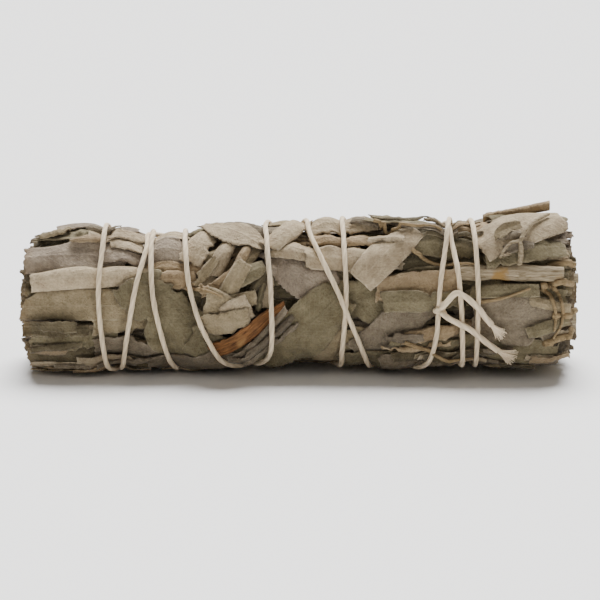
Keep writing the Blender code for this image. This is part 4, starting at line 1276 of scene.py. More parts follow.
# Regions of torn bits: x, angle, count, length, width and heading ranges.
UNDER_SCRAPS = (
    ((-74, -50), (-64, -14), 24, (9, 20), (1.8, 3.6), (-7, 7)),
    ((-72, -48), (58, 88), 9, (8, 18), (2.5, 5), (-14, 14)),
    ((-44, -28), (-55, -25), 10, (7, 14), (1.6, 3.5), (-10, 35)),
    ((-28, 0), (-58, -20), 14, (8, 20), (1.8, 4), (15, 50)),
    ((-26, -8), (5, 66), 18, (5, 12), (2, 5), (20, 85)),
    ((0, 50), (40, 80), 20, (9, 22), (2, 4.5), (-16, 16)),
    ((20, 54), (-56, -10), 22, (10, 24), (1.6, 3.4), (-9, 9)),
    ((48, 72), (14, 80), 14, (7, 16), (2, 4.5), (-22, 30)),
    ((50, 73), (-62, -18), 12, (8, 18), (2, 4), (-14, 10)),
)
OVER_SCRAPS = (
    ((-74, -54), (-60, -22), 11, (8, 18), (1.5, 3.0), (-6, 6)),
    ((-52, -30), (-60, -34), 6, (8, 16), (1.5, 3.0), (-12, 20)),
    ((-66, -52), (60, 84), 3, (6, 12), (2, 4), (-16, 16)),
    ((20, 48), (-50, -16), 9, (10, 20), (1.3, 2.4), (-8, 8)),
    ((2, 48), (46, 78), 8, (8, 18), (1.6, 3.2), (-12, 12)),
    ((52, 72), (-50, -24), 5, (7, 14), (1.6, 3), (-14, 8)),
    ((54, 71), (20, 70), 5, (6, 12), (1.6, 3), (-10, 35)),
)


@dataclass
class OuterLeaves:
    """The loose leaves on the outside, in the order in which they lie.

    Each row of the back has its angle, the number of the first CAD leaf that
    it stands for, and how many CAD leaves it stands for. The leaves of the
    front are each where they lie on the real one, from the lowest to the topmost.
    """

    maker: LeafMaker
    dresser: Dresser
    back_rows: tuple = ((116.0, 1, 3), (140.0, 0, 0), (164.0, 4, 3), (188.0, 0, 0), (211.0, 7, 2),
                        (232.0, 0, 0), (252.0, 0, 0), (272.0, 0, 0))
    end_of_scraps: float = 71.5
    gap: float = 0.25
    hairs: float = 4.0
    stiffness: float = 0.45
    front: tuple[Leaf, ...] = (
        Leaf(-61.5, -50, 20, 8, 0, Edge.CUT, 10, BEIGE, 9, tip=0.6),
        Leaf(-62.0, -34, 21, 6.5, 2, Edge.TORN, 20, DARK, tip=0.6),
        Leaf(-59.5, -22, 23, 5.0, 0, Edge.TORN, 25, OLIVE, 10, tip=0.6),
        Leaf(-64.0, -13, 18, 3.4, 2, Edge.TORN, -40, DARK, tip=0.6),
        Leaf(-59.5, 51, 27, 10.5, 0, Edge.TORN, 25, LILAC, 11, tip=0.7),
        Leaf(-60.0, 80, 19, 8, -5, Edge.TORN, -15, OLIVE, 12, tip=0.6, frill=0.2),
        Leaf(-54.0, 97, 22, 9, 4, Edge.TORN, 12, LILAC, frill=0.2),
        Leaf(-20.0, 96, 26, 9, 3, Edge.TORN, 40, OLIVE, tip=0.6),
        Leaf(-10.0, 84, 24, 9, -5, Edge.TORN, 50, GREY, tip=0.6),
        Leaf(4.0, 97, 26, 9, -3, Edge.TORN, 45, BEIGE, tip=0.6),
        Leaf(16.0, 88, 24, 8, 4, Edge.TORN, 50, OLIVE, tip=0.6),
        Leaf(-44.5, -33, 19, 9.5, -3, Edge.TORN, 12, GREY, 13, tip=0.6),
        Leaf(-47.0, -46, 16, 7, 5, Edge.TORN, -30, DARK),
        Leaf(-46.0, -4, 17, 10, 4, Edge.TORN, 8, BEIGE, 14, tip=0.6),
        Leaf(-44.0, 54, 16, 8.5, 0, Edge.TORN, 35, LILAC, 15, tip=0.6),
        Leaf(-48.5, 67, 15, 7, -18, Edge.TORN, 15, PALE, tip=0.4),
        Leaf(-40.0, 78, 20, 8, 6, Edge.TORN, 30, PALE),
        Leaf(-34.0, 56, 15, 9.5, 0, Edge.TORN, 30, LILAC, 16, tip=0.6),
        Leaf(-33.0, 38, 16, 5, -3, Edge.TORN, 55, TAN, tip=0.6),
        Leaf(-59.0, 6.5, 28, 9.6, 0, Edge.CUT, 10, BEIGE, 17, tip=0.75, butt=0.95,
             bites=((0.0, 0.07, 0.5, 1.0),), wave=0.3, fold=0.2, frill=0.5),
        Leaf(-65.5, -9, 14, 3.5, 0, Edge.TORN, -30, DARK, tip=0.8),
        Leaf(-55.0, 30, 32, 8.2, 3, Edge.CUT, 75, PALE, 18, tip=0.2, butt=0.95, wave=0.2,
             frill=0.2, fold=0.05, tint=1.08),
        Leaf(-33.5, 27, 13, 7, 0, Edge.TORN, 60, TAN, 19, tip=0.6),
        Leaf(-34.2, -5.5, 30, 16, -49, Edge.TORN, 8, OLIVE, 20, tip=0.4, butt=0.6,
             bites=((0.2, 0.06, 0.25, 1.0), (0.38, 0.05, 0.3, -1.0)), wave=0.5, tint=0.95),
        Leaf(-21.0, -30, 18, 9, -25, Edge.TORN, 10, OLIVE, tint=0.85),
        Leaf(-27.0, -44, 26, 8, 3, Edge.TORN, 20, GREY, tint=0.85),
        Leaf(1.8, 29.5, 28, 13.5, -40, Edge.WHOLE, 14, LILAC, 21, butt=0.5, wave=0.5),
        Leaf(5.8, 46, 25, 7.5, -15, Edge.TORN, 60, PALE, 22, tip=0.4),
        Leaf(14.5, 60, 23, 6, -2, Edge.TORN, 65, TAN, 23, tip=0.5),
        Leaf(12.0, 78, 21, 7.5, 2, Edge.TORN, 50, PALE, 24, tip=0.5),
        Leaf(14.0, 41, 25, 7.5, 0, Edge.TORN, 55, PALE, tip=0.5),
        Leaf(9.9, -38, 14, 10.5, 80, Edge.TORN, 8, BEIGE, 25, tip=0.5, tint=1.05),
        Leaf(19.9, 5, 19, 11.5, -10, Edge.TORN, 10, OLIVE, 26, tip=0.4),
        Leaf(0.4, -20, 32, 15, 46, Edge.TORN, 14, OLIVE, 27, tip=0.3, butt=0.6, wave=0.5,
             tint=1.02),
        Leaf(25.3, -15, 27, 11, 43, Edge.TORN, 10, GREY, 28, tip=0.6,
             bites=((0.7, 0.05, 0.2, 1.0),), tint=0.95),
        Leaf(22.0, -46, 22, 9, 8, Edge.TORN, 20, OLIVE, tint=0.85),
        Leaf(34.2, -44, 25, 8.5, 0, Edge.TORN, 30, GREY, 29, tip=0.4),
        Leaf(35.5, -34, 22, 3.6, 2, Edge.TORN, 40, DARK, tip=0.4),
        Leaf(35.0, -26, 22, 3.4, -3, Edge.TORN, 40, OLIVE, tip=0.4),
        Leaf(37.5, -17, 20, 3.6, 4, Edge.TORN, 40, TAN, tip=0.4),
        Leaf(31.5, 19, 22, 8, 7, Edge.TORN, 30, TAN, 30, tip=0.3),
        Leaf(33.0, 6, 22, 6, 0, Edge.TORN, 30, OLIVE, tip=0.4),
        Leaf(36.0, 52, 22, 7, -4, Edge.TORN, 35, OLIVE, tip=0.4),
        Leaf(23.4, 44, 21, 9.5, 47, Edge.CUT, 42, PALE, 31, tip=0.75, wave=0.25),
        Leaf(28.8, 88, 19, 7, 0, Edge.TORN, -25, OLIVE, 32, tip=0.5, frill=0.3),
        Leaf(58.5, -46, 23, 9.5, -10, Edge.TORN, 22, GREY, 33, tip=0.5),
        Leaf(56.0, -30, 26, 7, -4, Edge.TORN, 25, OLIVE, tip=0.5),
        Leaf(57.0, -7.5, 22, 13, -3, Edge.TORN, 16, GREY, 34, tip=0.5, butt=0.35,
             bites=((0.8, 0.06, 0.3, -1.0), (0.3, 0.05, 0.2, -1.0)), tint=1.08, fold=0.4),
        Leaf(66.0, -14, 12, 4, 8, Edge.TORN, 60, OLIVE, tip=0.6, butt=0.6),
        Leaf(66.5, 2, 11, 3.4, -12, Edge.TORN, 70, BEIGE, tip=0.6, butt=0.6),
        Leaf(54.5, 12.5, 18, 3.6, 0, Edge.CUT, 30, OLIVE, 35, tip=0.8),
        Leaf(50.5, 72, 18, 7, 0, Edge.TORN, 40, TAN, tip=0.5),
        Leaf(60.0, 42, 22, 7, 10, Edge.TORN, 30, OLIVE, tip=0.6),
        Leaf(59.5, 96, 24, 9, -4, Edge.TORN, 35, GREY, tip=0.6),
        Leaf(61.5, 82, 21, 8, 4, Edge.TORN, 45, OLIVE, tip=0.6),
        Leaf(58.8, 61, 25, 12.5, 26, Edge.TORN, 24, PALE, 36, tip=0.6, fold=0.1, frill=0.25, tint=0.9),
        Leaf(-26.6, 60, 14, 8.5, 70, Edge.TORN, 35, PALE, 37, tip=0.5),
        Leaf(-20.5, 45, 12, 6.0, 68, Edge.CUT, 70, PALE, 38, tip=0.7, butt=0.9, fold=0.6),
        Leaf(-24.5, 32, 9, 3.5, 48, Edge.TORN, 60, BEIGE, tip=0.3, butt=0.8, fold=0.6),
        Leaf(-13.8, 44, 10, 5.0, 62, Edge.CUT, 55, BEIGE, tip=0.5, butt=0.8, fold=0.6),
        Leaf(-15.8, 36, 12, 3.6, 66, Edge.TORN, 80, TAN, tip=0.4, butt=0.8, fold=0.6),
        Leaf(-12.5, 30, 9, 5.0, 30, Edge.TORN, 40, OLIVE, tip=0.6, fold=0.6),
        Leaf(-20.5, 22, 12, 3.6, 30, Edge.TORN, 70, TAN, tip=0.3, butt=0.7, bow=0.2, fold=0.5),
        Leaf(-17.5, 20, 13, 5.5, 58, Edge.CUT, 55, BEIGE, tip=0.6, butt=0.5, fold=0.7),
        Leaf(-22.5, 14, 8, 2.6, -30, Edge.TORN, 60, TAN, tip=0.3, fold=0.5),
        Leaf(-15.0, 9, 8, 4.4, 10, Edge.CUT, 30, BEIGE, tip=0.8, butt=0.9, fold=0.6),
        Leaf(-20.6, 4, 8.5, 7.5, -24, Edge.CUT, 14, BEIGE, 39, tip=0.85, butt=0.9, fold=0.4),
        Leaf(-16.2, 1, 7.5, 7.0, 24, Edge.CUT, 18, PALE, tip=0.85, butt=0.8, fold=0.4, tint=0.9),
        Leaf(-19.0, -6, 12, 6.5, 8, Edge.TORN, 16, BEIGE, tip=0.7, fold=0.4, tint=0.92),
        Leaf(-17.2, 70, 21, 10, -33, Edge.WHOLE, 22, PALE, 40, butt=0.5, tint=0.86),
        Leaf(-3.1, 71, 16, 8, 50, Edge.TORN, 40, PALE, 41, tip=0.4),
    )

    def back(self) -> list[Leaf]:
        """Leaves of the back and underneath, set by a seeded rule in staggered rows.

        Returns:
            The leaves, row by row.
        """
        rng = np.random.default_rng(77)
        finishes = (LILAC, PALE, OLIVE, GREY, BEIGE)
        leaves = []
        for row, (angle, first, count) in enumerate(self.back_rows):
            for k in range(5):
                x = -58 + 29 * k + rng.uniform(-6, 6) + 7 * (row % 2)
                length = rng.uniform(24, 36)
                x = float(np.clip(x, length / 2 - 72, 72 - length / 2))
                leaves.append(Leaf(x, angle + rng.uniform(-7, 7), length, rng.uniform(8, 13),
                                   rng.uniform(-28, 28), rng.choice(list(Edge)), rng.uniform(-18, 40),
                                   finishes[(2 * k + row) % 5], first + k if k < count else 0, wave=0.4,
                                   bow=rng.uniform(-0.1, 0.1), tint=rng.uniform(0.9, 1.05)))
        return leaves

    def scraps(self, regions: tuple, seed: int, name: str) -> None:
        """Small torn bits and curled strips, drawn by chance in a few regions.

        Args:
            regions: for each, its x and angle ranges, count, length, width and heading ranges.
            seed: number that fixes the draw.
            name: what the pieces are called.
        """
        rng = np.random.default_rng(seed)
        finishes = (OLIVE, PALE, GREY, DARK, BEIGE, TAN)
        meshes = [MeshPile() for _ in finishes]
        for x_range, a_range, count, lengths, widths, headings in regions:
            for _ in range(count):
                which = int(rng.integers(len(finishes)))
                length = rng.uniform(*lengths)
                x, angle = rng.uniform(*x_range), rng.uniform(*a_range)
                room = self.end_of_scraps - length / 2
                x = float(np.clip(x, -room, room))
                over_stem = x > 36 and 14 < angle < 42
                if over_stem:
                    continue
                leaf = Leaf(x, angle, length, rng.uniform(*widths), rng.uniform(*headings), Edge.TORN,
                            rng.uniform(-40, 85), butt=rng.uniform(0.4, 0.9), tip=rng.uniform(0.2, 0.8),
                            bow=rng.uniform(-0.25, 0.25), wave=0.3, frill=0.3, thickness=0.34,
                            tint=rng.uniform(0.75, 1.1), fold_count=1, lift_tip=rng.uniform(-0.2, 0.6),
                            lift_butt=rng.uniform(-0.2, 0.4), stiff=2.5)
                self.maker.add(meshes[which], leaf, int(rng.integers(1 << 30)))
        for finish, mesh in zip(finishes, meshes):
            if mesh.count:
                kind = "_".join(finish.name.split()[1:3])
                self.dresser.dress(mesh.build(f"{name}_{kind}"), finish)

    def build(self, under: list[str]) -> None:
        """Lay every leaf as a piece of its own.

        Args:
            under: names of the CAD leaves, to check that each is stood for.
        """
        leaves = self.back() + list(self.front)
        stood = [name for leaf in leaves for name in leaf.nodes]
        missing = sorted(set(under) - set(stood))
        LOG.info("leaves: %d, not stood for: %s", len(leaves), missing)
        self.scraps(UNDER_SCRAPS, 51, "under_scraps")
        for number, leaf in enumerate(leaves):
            mesh = MeshPile()
            stiff = max(leaf.stiff, self.stiffness * leaf.width)
            laid = replace(leaf, gap=self.gap, hairs=self.hairs, stiff=stiff)
            self.maker.add(mesh, laid, 3000 + 17 * number)
            obj = mesh.build(f"leaf_{number + 1:02d}")
            self.dresser.dress(obj, leaf.finish, leaf.nodes)
        self.scraps(OVER_SCRAPS, 52, "over_scraps")


@dataclass
class WoodyParts:
    """Woody stems, the thick outer stem with its twig, the bark strip and leaf stalks.

    Each path is pairs of x in mm and angle in degrees. The last of the stalks
    are thick stubs.
    """

    space: BunchSpace
    pile: Pile
    dresser: Dresser
    woody_sizes: tuple = ((3.4, 75.0), (4.6, 74.2), (2.6, 74.6), (3.8, 73.2), (2.4, 74.4),
                          (4.2, 73.6), (3.0, 74.0))
    ring: float = 10.6
    outer_stem: tuple = ((41.0, 28.5), (56.0, 27.0), (70.0, 24.6))
    twig_trunk: tuple = ((58.0, 29.0), (58.6, 36.0), (58.4, 44.0))
    twig_long: tuple = ((58.4, 44.0), (61.6, 58.0), (66.6, 72.0))
    twig_short: tuple = ((58.4, 44.0), (55.6, 42.0), (53.0, 34.0))
    roll_path: tuple = ((49.5, 86.0), (56.0, 88.5), (62.0, 90.0), (67.4, 90.5))
    roll_rise: tuple = (-1.0, -0.3, 0.6, 1.7)
    woody_start: float = -38.0
    outer_thick: float = 2.15
    outer_rise: float = 2.0
    twig_thick: tuple = (0.7, 0.56, 0.42)
    stalk_paths: tuple = (
        ((63.5, 18.0), (67.5, 14.0), (69.5, 2.0), (69.5, -12.0), (67.0, -24.0)),
        ((64.0, 14.0), (66.5, 8.0), (67.8, -4.0), (67.5, -16.0)),
        ((30.0, 46.0), (38.0, 36.0), (47.0, 33.0)),
        ((46.0, 4.0), (54.0, 8.0), (61.0, 14.0)),
        ((28.0, -20.0), (38.0, -30.0), (46.0, -34.0)),
        ((-30.0, 20.0), (-24.0, 16.0), (-20.0, 12.0)),
        ((20.0, 70.0), (30.0, 64.0), (38.0, 62.0)),
        ((64.0, 16.0), (69.0, 18.5), (72.6, 19.0)),
        ((66.0, 33.0), (70.0, 36.0), (73.4, 36.5)),
        ((67.0, -6.0), (70.5, -7.0), (73.6, -6.5)),
        ((65.0, -24.0), (69.5, -25.0), (72.8, -24.0)),
    )
    stubs: int = 4
    step: float = 0.4
    stem_mesh: MeshPile = field(default_factory=MeshPile)
    stem_lies: float = 0.0

    def stick(self, mesh: MeshPile, x: np.ndarray, angle: np.ndarray, radius: np.ndarray,
              thick: np.ndarray, seed: int, sides: int = 18, hollow: float = 0.45) -> None:
        """Dry stick along a path, ribbed and knobbly, with hollow pith in its far end.

        Its path turns back inside at the far end, so that the pith is a real pit.

        Args:
            mesh: the mesh that gets it.
            x: its path along the bunch, mm.
            angle: its path's angles, radians.
            radius: its path's radii, mm.
            thick: half its thickness along the path, mm.
            seed: number that fixes its noise.
            sides: corners of its section.
            hollow: radius of the pit as a share of the end's.
        """
        noise = Noise(seed)
        long = np.concatenate([[0], np.cumsum(np.hypot(np.diff(x), np.diff(angle) * ROUND))])
        path = self.space.place(x, angle, radius)
        thick = thick * (1 + 0.09 * noise.at(long, 1.0, 5.0) + 0.05 * noise.at(long, 7.0, 1.4))
        tangent = (path[-1] - path[-3]) / np.linalg.norm(path[-1] - path[-3])
        pit = [path[-1] + 0.05 * MM * tangent, path[-1] + 0.0 * tangent, path[-1] - 0.8 * MM * tangent]
        slope = np.gradient(path, axis=0)
        slope = np.concatenate([slope, np.repeat(slope[-1:], 3, axis=0)])
        along = np.concatenate([long, np.full(3, long[-1])])
        turn = mesh.corners(sides)
        ribs = 1 + 0.1 * noise.at(np.cos(turn) * 3 + 9, np.sin(turn) * 3 + along[:, None] * 0.08, 1.0)
        out = self.space.outward(np.concatenate([angle, np.full(3, angle[-1])]))
        sizes = np.concatenate([thick, thick[-1] * np.array([0.86, hollow, hollow * 0.8])])
        pith = np.concatenate([np.zeros(len(thick)), [0.7, 1.0, 1.0]])
        mesh.tube(np.concatenate([path, pit]), out, sizes, sides, ribs, slope, along=along, rim=pith,
                  tint=1.0)

    def inner_stems(self) -> None:
        """The woody stems inside, whose cut ends stand out at the stem end."""
        for number, (size, end) in enumerate(self.woody_sizes):
            ring = 0.0 if number == 6 else self.ring
            angle = math.radians(-90 + 60 * number)
            x = np.linspace(self.woody_start, end, 60)
            mesh = MeshPile()
            self.stick(mesh, x, np.full(60, angle), np.full(60, ring), np.full(60, size / 2 * 0.97),
                       500 + number)
            obj = mesh.build(f"fine_woody_stem_{number + 1}")
            self.dresser.dress(obj, STEM, (f"woody_stem_{number + 1}",))

    def thick_stem(self) -> None:
        """The thick stem on the outside: lay it in the pile before the leaves beside it."""
        x, angle = even_path(self.outer_stem, self.step)
        radius = np.full(len(x), np.percentile(self.pile.at(x, angle), 60) + self.outer_rise)
        knob = 1 + 0.14 * np.exp(-((x - 58.5) / 1.6) ** 2)
        thick = self.outer_thick * np.linspace(0.9, 1.0, len(x)) * knob
        thick = thick * (1 - 0.12 * smooth_step(x, 66.5, 70.0) + 0.1 * np.exp(-((x - 65.5) / 1.0) ** 2))
        mesh = self.stem_mesh
        self.stick(mesh, x, angle, radius, thick, 611, 28, 0.5)
        across = np.linspace(-2.1, 2.1, 15)[None, :]
        top = radius[:, None] + np.sqrt(np.maximum(self.outer_thick ** 2 - across ** 2, 0))
        grid_a = angle[:, None] + across / ROUND
        self.pile.lift(x[:, None] + 0 * grid_a, grid_a, top)
        along = mesh.values["along"][-1]
        golden = smooth_step(along, 8.6, 10.0) * (1 - smooth_step(along, 14.6, 16.5))
        mesh.values["tint"][-1] = 1.0 + 0.54 * golden
        self.stem_lies = float(radius[0])

    def twig(self) -> None:
        """The forked twig that grew from the thick stem, over the leaves beside it."""
        fork = self.stem_lies + 0.6
        for number, knots in enumerate((self.twig_trunk, self.twig_long, self.twig_short)):
            x, angle = even_path(knots, self.step)
            rest = self.pile.at(x, angle) + 0.75
            start = np.exp(-np.linspace(0, 4, len(x)))
            radius = np.maximum(even_out(rest, 6), rest) * (1 - start) + fork * start
            if number == 0:
                fork = float(radius[-1])
            thick = self.twig_thick[number] * np.linspace(1.15, 0.8, len(x))
            self.stick(self.stem_mesh, x, angle, radius, thick, 640 + number, 10, 0.4)
        obj = self.stem_mesh.build("thick_outer_stem")
        self.dresser.dress(obj, STEM, ("outer_stem",))

    def bark(self, maker: LeafMaker) -> None:
        """The strip of orange bark: a thick, fibrous, curved splinter, and dark blades beside it.

        Args:
            maker: lays them as it lays leaves.
        """
        mesh = MeshPile()
        strip = Leaf(-13.0, -14, 23, 5.2, 33, Edge.TORN, 45, PALE, butt=0.8, tip=0.4, thickness=0.6, wave=0.5,
                     stiff=5.0, fold=0.5)
        maker.add(mesh, strip, 71, 0.4)
        mesh.values["rim"][-1] = np.zeros(mesh.count)
        self.dresser.dress(mesh.build("orange_bark_strip"), BARK, ("bark_strip",))
        side = MeshPile()
        for number, (x, angle, length, tint) in enumerate(((-10.2, -20, 21, 0.9), (-8.6, -23, 20, 0.6),
                                                           (-7.0, -26, 18, 0.85), (-12.0, -27, 14, 0.7))):
            blade = Leaf(x, angle, length, 2.6, 42 - 4 * number, Edge.TORN, 80, GREY, butt=0.6, tip=0.3,
                         tint=tint, bow=0.22, frill=0.2)
            maker.add(side, blade, 72 + number, 0.4)
        self.dresser.dress(side.build("curved_dark_blades"), GREY)

    def top_roll(self) -> None:
        """The leaf rolled to a tube along the top: a spiral of two turns carried along its path."""
        x, angle = even_path(self.roll_path, 0.5)
        rest = self.pile.at(x, angle)
        for _ in range(4):
            rest = np.maximum(even_out(rest, 12), rest)
        rise = np.interp(np.linspace(0, 3, len(x)), range(4), self.roll_rise)
        radius = np.minimum(rest, self.space.envelope(x) + 0.6) + 0.9 + rise
        turn = np.linspace(0, 4.2 * math.pi, 56)[None, :]
        taper = np.linspace(0.85, 1.05, len(x))[:, None]
        noise = Noise(88)
        ring = (0.45 + 0.075 * turn) * taper * (1 + 0.05 * noise.at(turn * 2, x[:, None], 2.0))
        sideways = ring * np.cos(turn) / ROUND
        middle = self.space.place(x[:, None] + 0 * turn, angle[:, None] + sideways,
                                  radius[:, None] + ring * np.sin(turn))
        mesh = MeshPile()
        rim = np.minimum(np.abs(x[:, None] - x[-1]), 5) + 0 * turn
        mesh.sheet(middle[:, ::-1], np.full(middle.shape[:2], 0.3), along=x[:, None] + 0 * turn,
                   across=turn + 1 + 0 * rim, rim=rim, tint=1.0 + 0 * rim)
        self.dresser.dress(mesh.build("rolled_leaf_on_top"), TAN, ("leaf_roll",))

    def stalks(self) -> None:
        """Thin leaf stalks that curl over the stem end and lie in the gaps."""
        mesh = MeshPile()
        for number, knots in enumerate(self.stalk_paths):
            x, angle = even_path(knots, self.step)
            rest = self.pile.at(x, angle) + 0.45
            radius = np.maximum(even_out(rest, 5), rest)
            stub = number >= len(self.stalk_paths) - self.stubs
            size, end, sides = (0.85, 1.0, 12) if stub else (0.5, 0.6, 8)
            thick = size * np.linspace(1.2, end, len(x))
            self.stick(mesh, x, angle, radius, thick, 700 + number, sides, 0.4)
        self.dresser.dress(mesh.build("leaf_stalks"), STALK)


@dataclass
class CottonString:
    """The winding, its knot and its two frayed tails: one string of three plies.

    Sizes are in mm. The brushes are the length and spread of the upper and the
    lower frayed end. A turn of the knot is its place along and across, its half
    width and half height, and its tilt in radians.
    """

    space: BunchSpace
    pile: Pile
    dresser: Dresser
    route: StringRoute
    radius: float = 0.66
    tail_radius: float = 0.8
    knot_radius: float = 0.7
    step: float = 0.34
    twist_mm: float = 4.2
    lobe: float = 0.035
    clear: float = 0.72
    fuzz_per_mm: float = 3.0
    fibre_thick: float = 0.07
    sides: int = 12
    chunk: int = 60
    overlap: int = 24
    brush_fibres: int = 46
    brushes: tuple = ((4.3, 1.3), (5.2, 1.9))
    knot_turns: tuple = ((0.0, 0.0, 1.15, 0.9, 0.4), (0.5, -0.5, 1.05, 0.85, -0.7),
                         (0.15, 0.6, 0.9, 0.8, 1.2))

    def laid(self, x: np.ndarray, angle: np.ndarray, thick: float) -> np.ndarray:
        """Lay a stretch of string: taut over the high places, never inside the pile.

        The string rests on the highest point under its width. It is then pulled
        taut by averaging it along itself and lifting it to that rest, repeatedly.

        Args:
            x: its places along the bunch, mm.
            angle: its angles, radians.
            thick: half its thickness, mm.

        Returns:
            The radius of its middle at each place, mm.
        """
        spread = np.linspace(-0.8, 0.8, 5) * thick
        under = [self.pile.at(x + dx, angle + da / ROUND) for dx in spread for da in spread]
        rest = np.max(under, axis=0) + 0.8 * thick
        taut = rest
        for _ in range(6):
            taut = np.maximum(even_out(taut, 9), rest)
        return even_out(taut, 4)

    def strand(self, mesh: MeshPile, x: np.ndarray, angle: np.ndarray, radius: np.ndarray,
               thick: float, seed: int) -> None:
        """Add one strand: three lobes that wind round it, with small random swellings.

        Args:
            mesh: the mesh that gets it.
            x: its path along the bunch, mm.
            angle: its path's angles, radians.
            radius: its path's radii, mm.
            thick: half its thickness, mm.
            seed: number that fixes its swellings.
        """
        noise = Noise(seed)
        centres = self.space.place(x, angle, radius, self.clear)
        along = np.concatenate([[0], np.cumsum(np.linalg.norm(np.diff(centres, axis=0), axis=1) / MM)])
        sizes = thick * (1 + 0.07 * noise.at(along, 2.0, 3.0) + 0.04 * noise.at(along, 5.0, 0.8))
        twist = 2 * math.pi * along / (3 * self.twist_mm)
        plies = np.cos(3 * (mesh.corners(self.sides) - twist[:, None]))
        out = self.space.outward(angle)
        # rim is 1 in the grooves between plies, where the string's material paints shade.
        mesh.tube(centres, out, sizes, self.sides, 1 + self.lobe * plies, along=along,
                  rim=0.5 - 0.5 * plies, tint=1.0)
        self.fuzz(mesh, centres, out, sizes, seed)
        LOG.info("strand %d: %.0f mm long", seed, along[-1])

    def fuzz(self, mesh: MeshPile, centres: np.ndarray, out: np.ndarray, sizes: np.ndarray,
             seed: int) -> None:
        """Loose fibres that stand off a strand, leaning along it.

        Args:
            mesh: the mesh that gets them.
            centres: the strand's path, metres.
            out: direction away from the bunch at each of its points.
            sizes: half its thickness there, mm.
            seed: number that fixes their places.
        """
        rng = np.random.default_rng(seed + 90)
        tangent = np.gradient(centres, axis=0)
        length = np.linalg.norm(tangent, axis=1, keepdims=True)
        count = int(length.sum() / MM * self.fuzz_per_mm)
        tangent = tangent / length
        spot = rng.integers(0, len(centres), count)
        turn = rng.uniform(0, 2 * math.pi, (count, 1))
        side = np.cross(tangent[spot], out[spot])
        away = np.cos(turn) * out[spot] + np.sin(turn) * side
        roots = centres[spot] + 0.9 * MM * sizes[spot, None] * away
        reach = away * rng.uniform(0.15, 0.42, (count, 1))
        reach = reach + tangent[spot] * rng.uniform(-0.5, 0.5, (count, 1))
        mesh.spikes(roots, reach * MM, self.fibre_thick, tint=1.0)

    def fray(self, mesh: MeshPile, end: tuple[float, float, float], heading: float,
             brush: tuple[float, float], rng: np.random.Generator) -> None:
        """Brush of fibres at a tail's cut end: each leaves the middle and bends outwards.

        Args:
            mesh: the mesh that gets it.
            end: x in mm, angle in radians and radius in mm of the tail's end.
            heading: direction of the tail there, radians.
            brush: length and spread of the brush, mm.
            rng: source of chance.
        """
        t = np.linspace(0, 1, 7)
        for _ in range(self.brush_fibres):
            side, out = rng.uniform(-1, 1), rng.uniform(-0.6, 1.0)
            reach = brush[0] * rng.uniform(0.65, 1.05)
            across = side * (0.35 + brush[1] * t ** 1.5)
            x = end[0] + reach * t * math.cos(heading) - across * math.sin(heading)
            angle = end[1] + (reach * t * math.sin(heading) + across * math.cos(heading)) / ROUND
            radius = end[2] + out * (0.3 + 0.5 * t) - 0.2 * t
            radius = np.maximum(radius, self.pile.at(x, angle) + 0.1)
            mesh.tube(self.space.place(x, angle, radius), self.space.outward(angle),
                      np.linspace(0.2, 0.1, 7), 5, along=t, rim=0.1, tint=1.0)

    def winding(self) -> tuple[np.ndarray, np.ndarray, np.ndarray]:
        """Lay the winding a stretch at a time, each over the ones laid before it.

        Returns:
            Its x in mm, angle in radians and radius in mm at each step.
        """
        x, angle = even_path(self.route.knots(), self.step)
        radius = np.empty(len(x))
        for start in range(0, len(x), self.chunk):
            low, high = max(start - self.overlap, 0), min(start + self.chunk + self.overlap, len(x))
            fresh = self.laid(x[low:high], angle[low:high], self.radius)
            radius[start:start + self.chunk] = fresh[start - low:start - low + self.chunk]
            done = max(start - self.chunk, 0)
            self.cover(x[done:start], angle[done:start], radius[done:start], self.radius)
        for _ in range(3):
            radius = even_out(radius, 3)
        self.cover(x, angle, radius, self.radius)
        return x, angle, radius

    def build(self) -> None:
        """Lay the winding, then the tails with their frayed ends, and the knot."""
        mesh = MeshPile()
        x, angle, radius = self.winding()
        self.strand(mesh, x, angle, radius, self.radius, 1)
        knot_lies = float(radius[-1]) + 0.5
        rng = np.random.default_rng(5)
        tails = (self.route.upper_tail, self.route.lower_tail)
        for number, (knots, brush) in enumerate(zip(tails, self.brushes)):
            x, angle = even_path(knots, self.step)
            radius = self.laid(x, angle, self.tail_radius)
            start = np.exp(-np.linspace(0, 8, len(x)))
            radius = radius * (1 - start) + np.maximum(knot_lies, radius) * start
            self.strand(mesh, x, angle, radius, self.tail_radius, 2 + number)
            heading = math.atan2((angle[-1] - angle[-4]) * ROUND, x[-1] - x[-4])
            end = (float(x[-1]), float(angle[-1]), float(radius[-1]))
            self.fray(mesh, end, heading, brush, rng)
        self.knot(mesh, knot_lies)
        obj = mesh.build("wound_cotton_string")
        self.dresser.dress(obj, CottonFinish(), ("cotton_string",))

    def cover(self, x: np.ndarray, angle: np.ndarray, radius: np.ndarray, thick: float) -> None:
        """Raise the pile along a laid stretch of string.

        Args:
            x: its places along the bunch, mm.
            angle: its angles, radians.
            radius: its radii, mm.
            thick: half its thickness, mm.
        """
        if len(x) < 2:
            return
        side = np.linspace(-1, 1, 7)[None, :] * thick
        heading = np.arctan2(np.gradient(angle) * ROUND, np.gradient(x))[:, None]
        grid_x = x[:, None] - side * np.sin(heading)
        grid_a = angle[:, None] + side * np.cos(heading) / ROUND
        top = radius[:, None] + np.sqrt(np.maximum(thick ** 2 - side ** 2, 0)) - 0.15
        self.pile.lift(grid_x, grid_a, top)

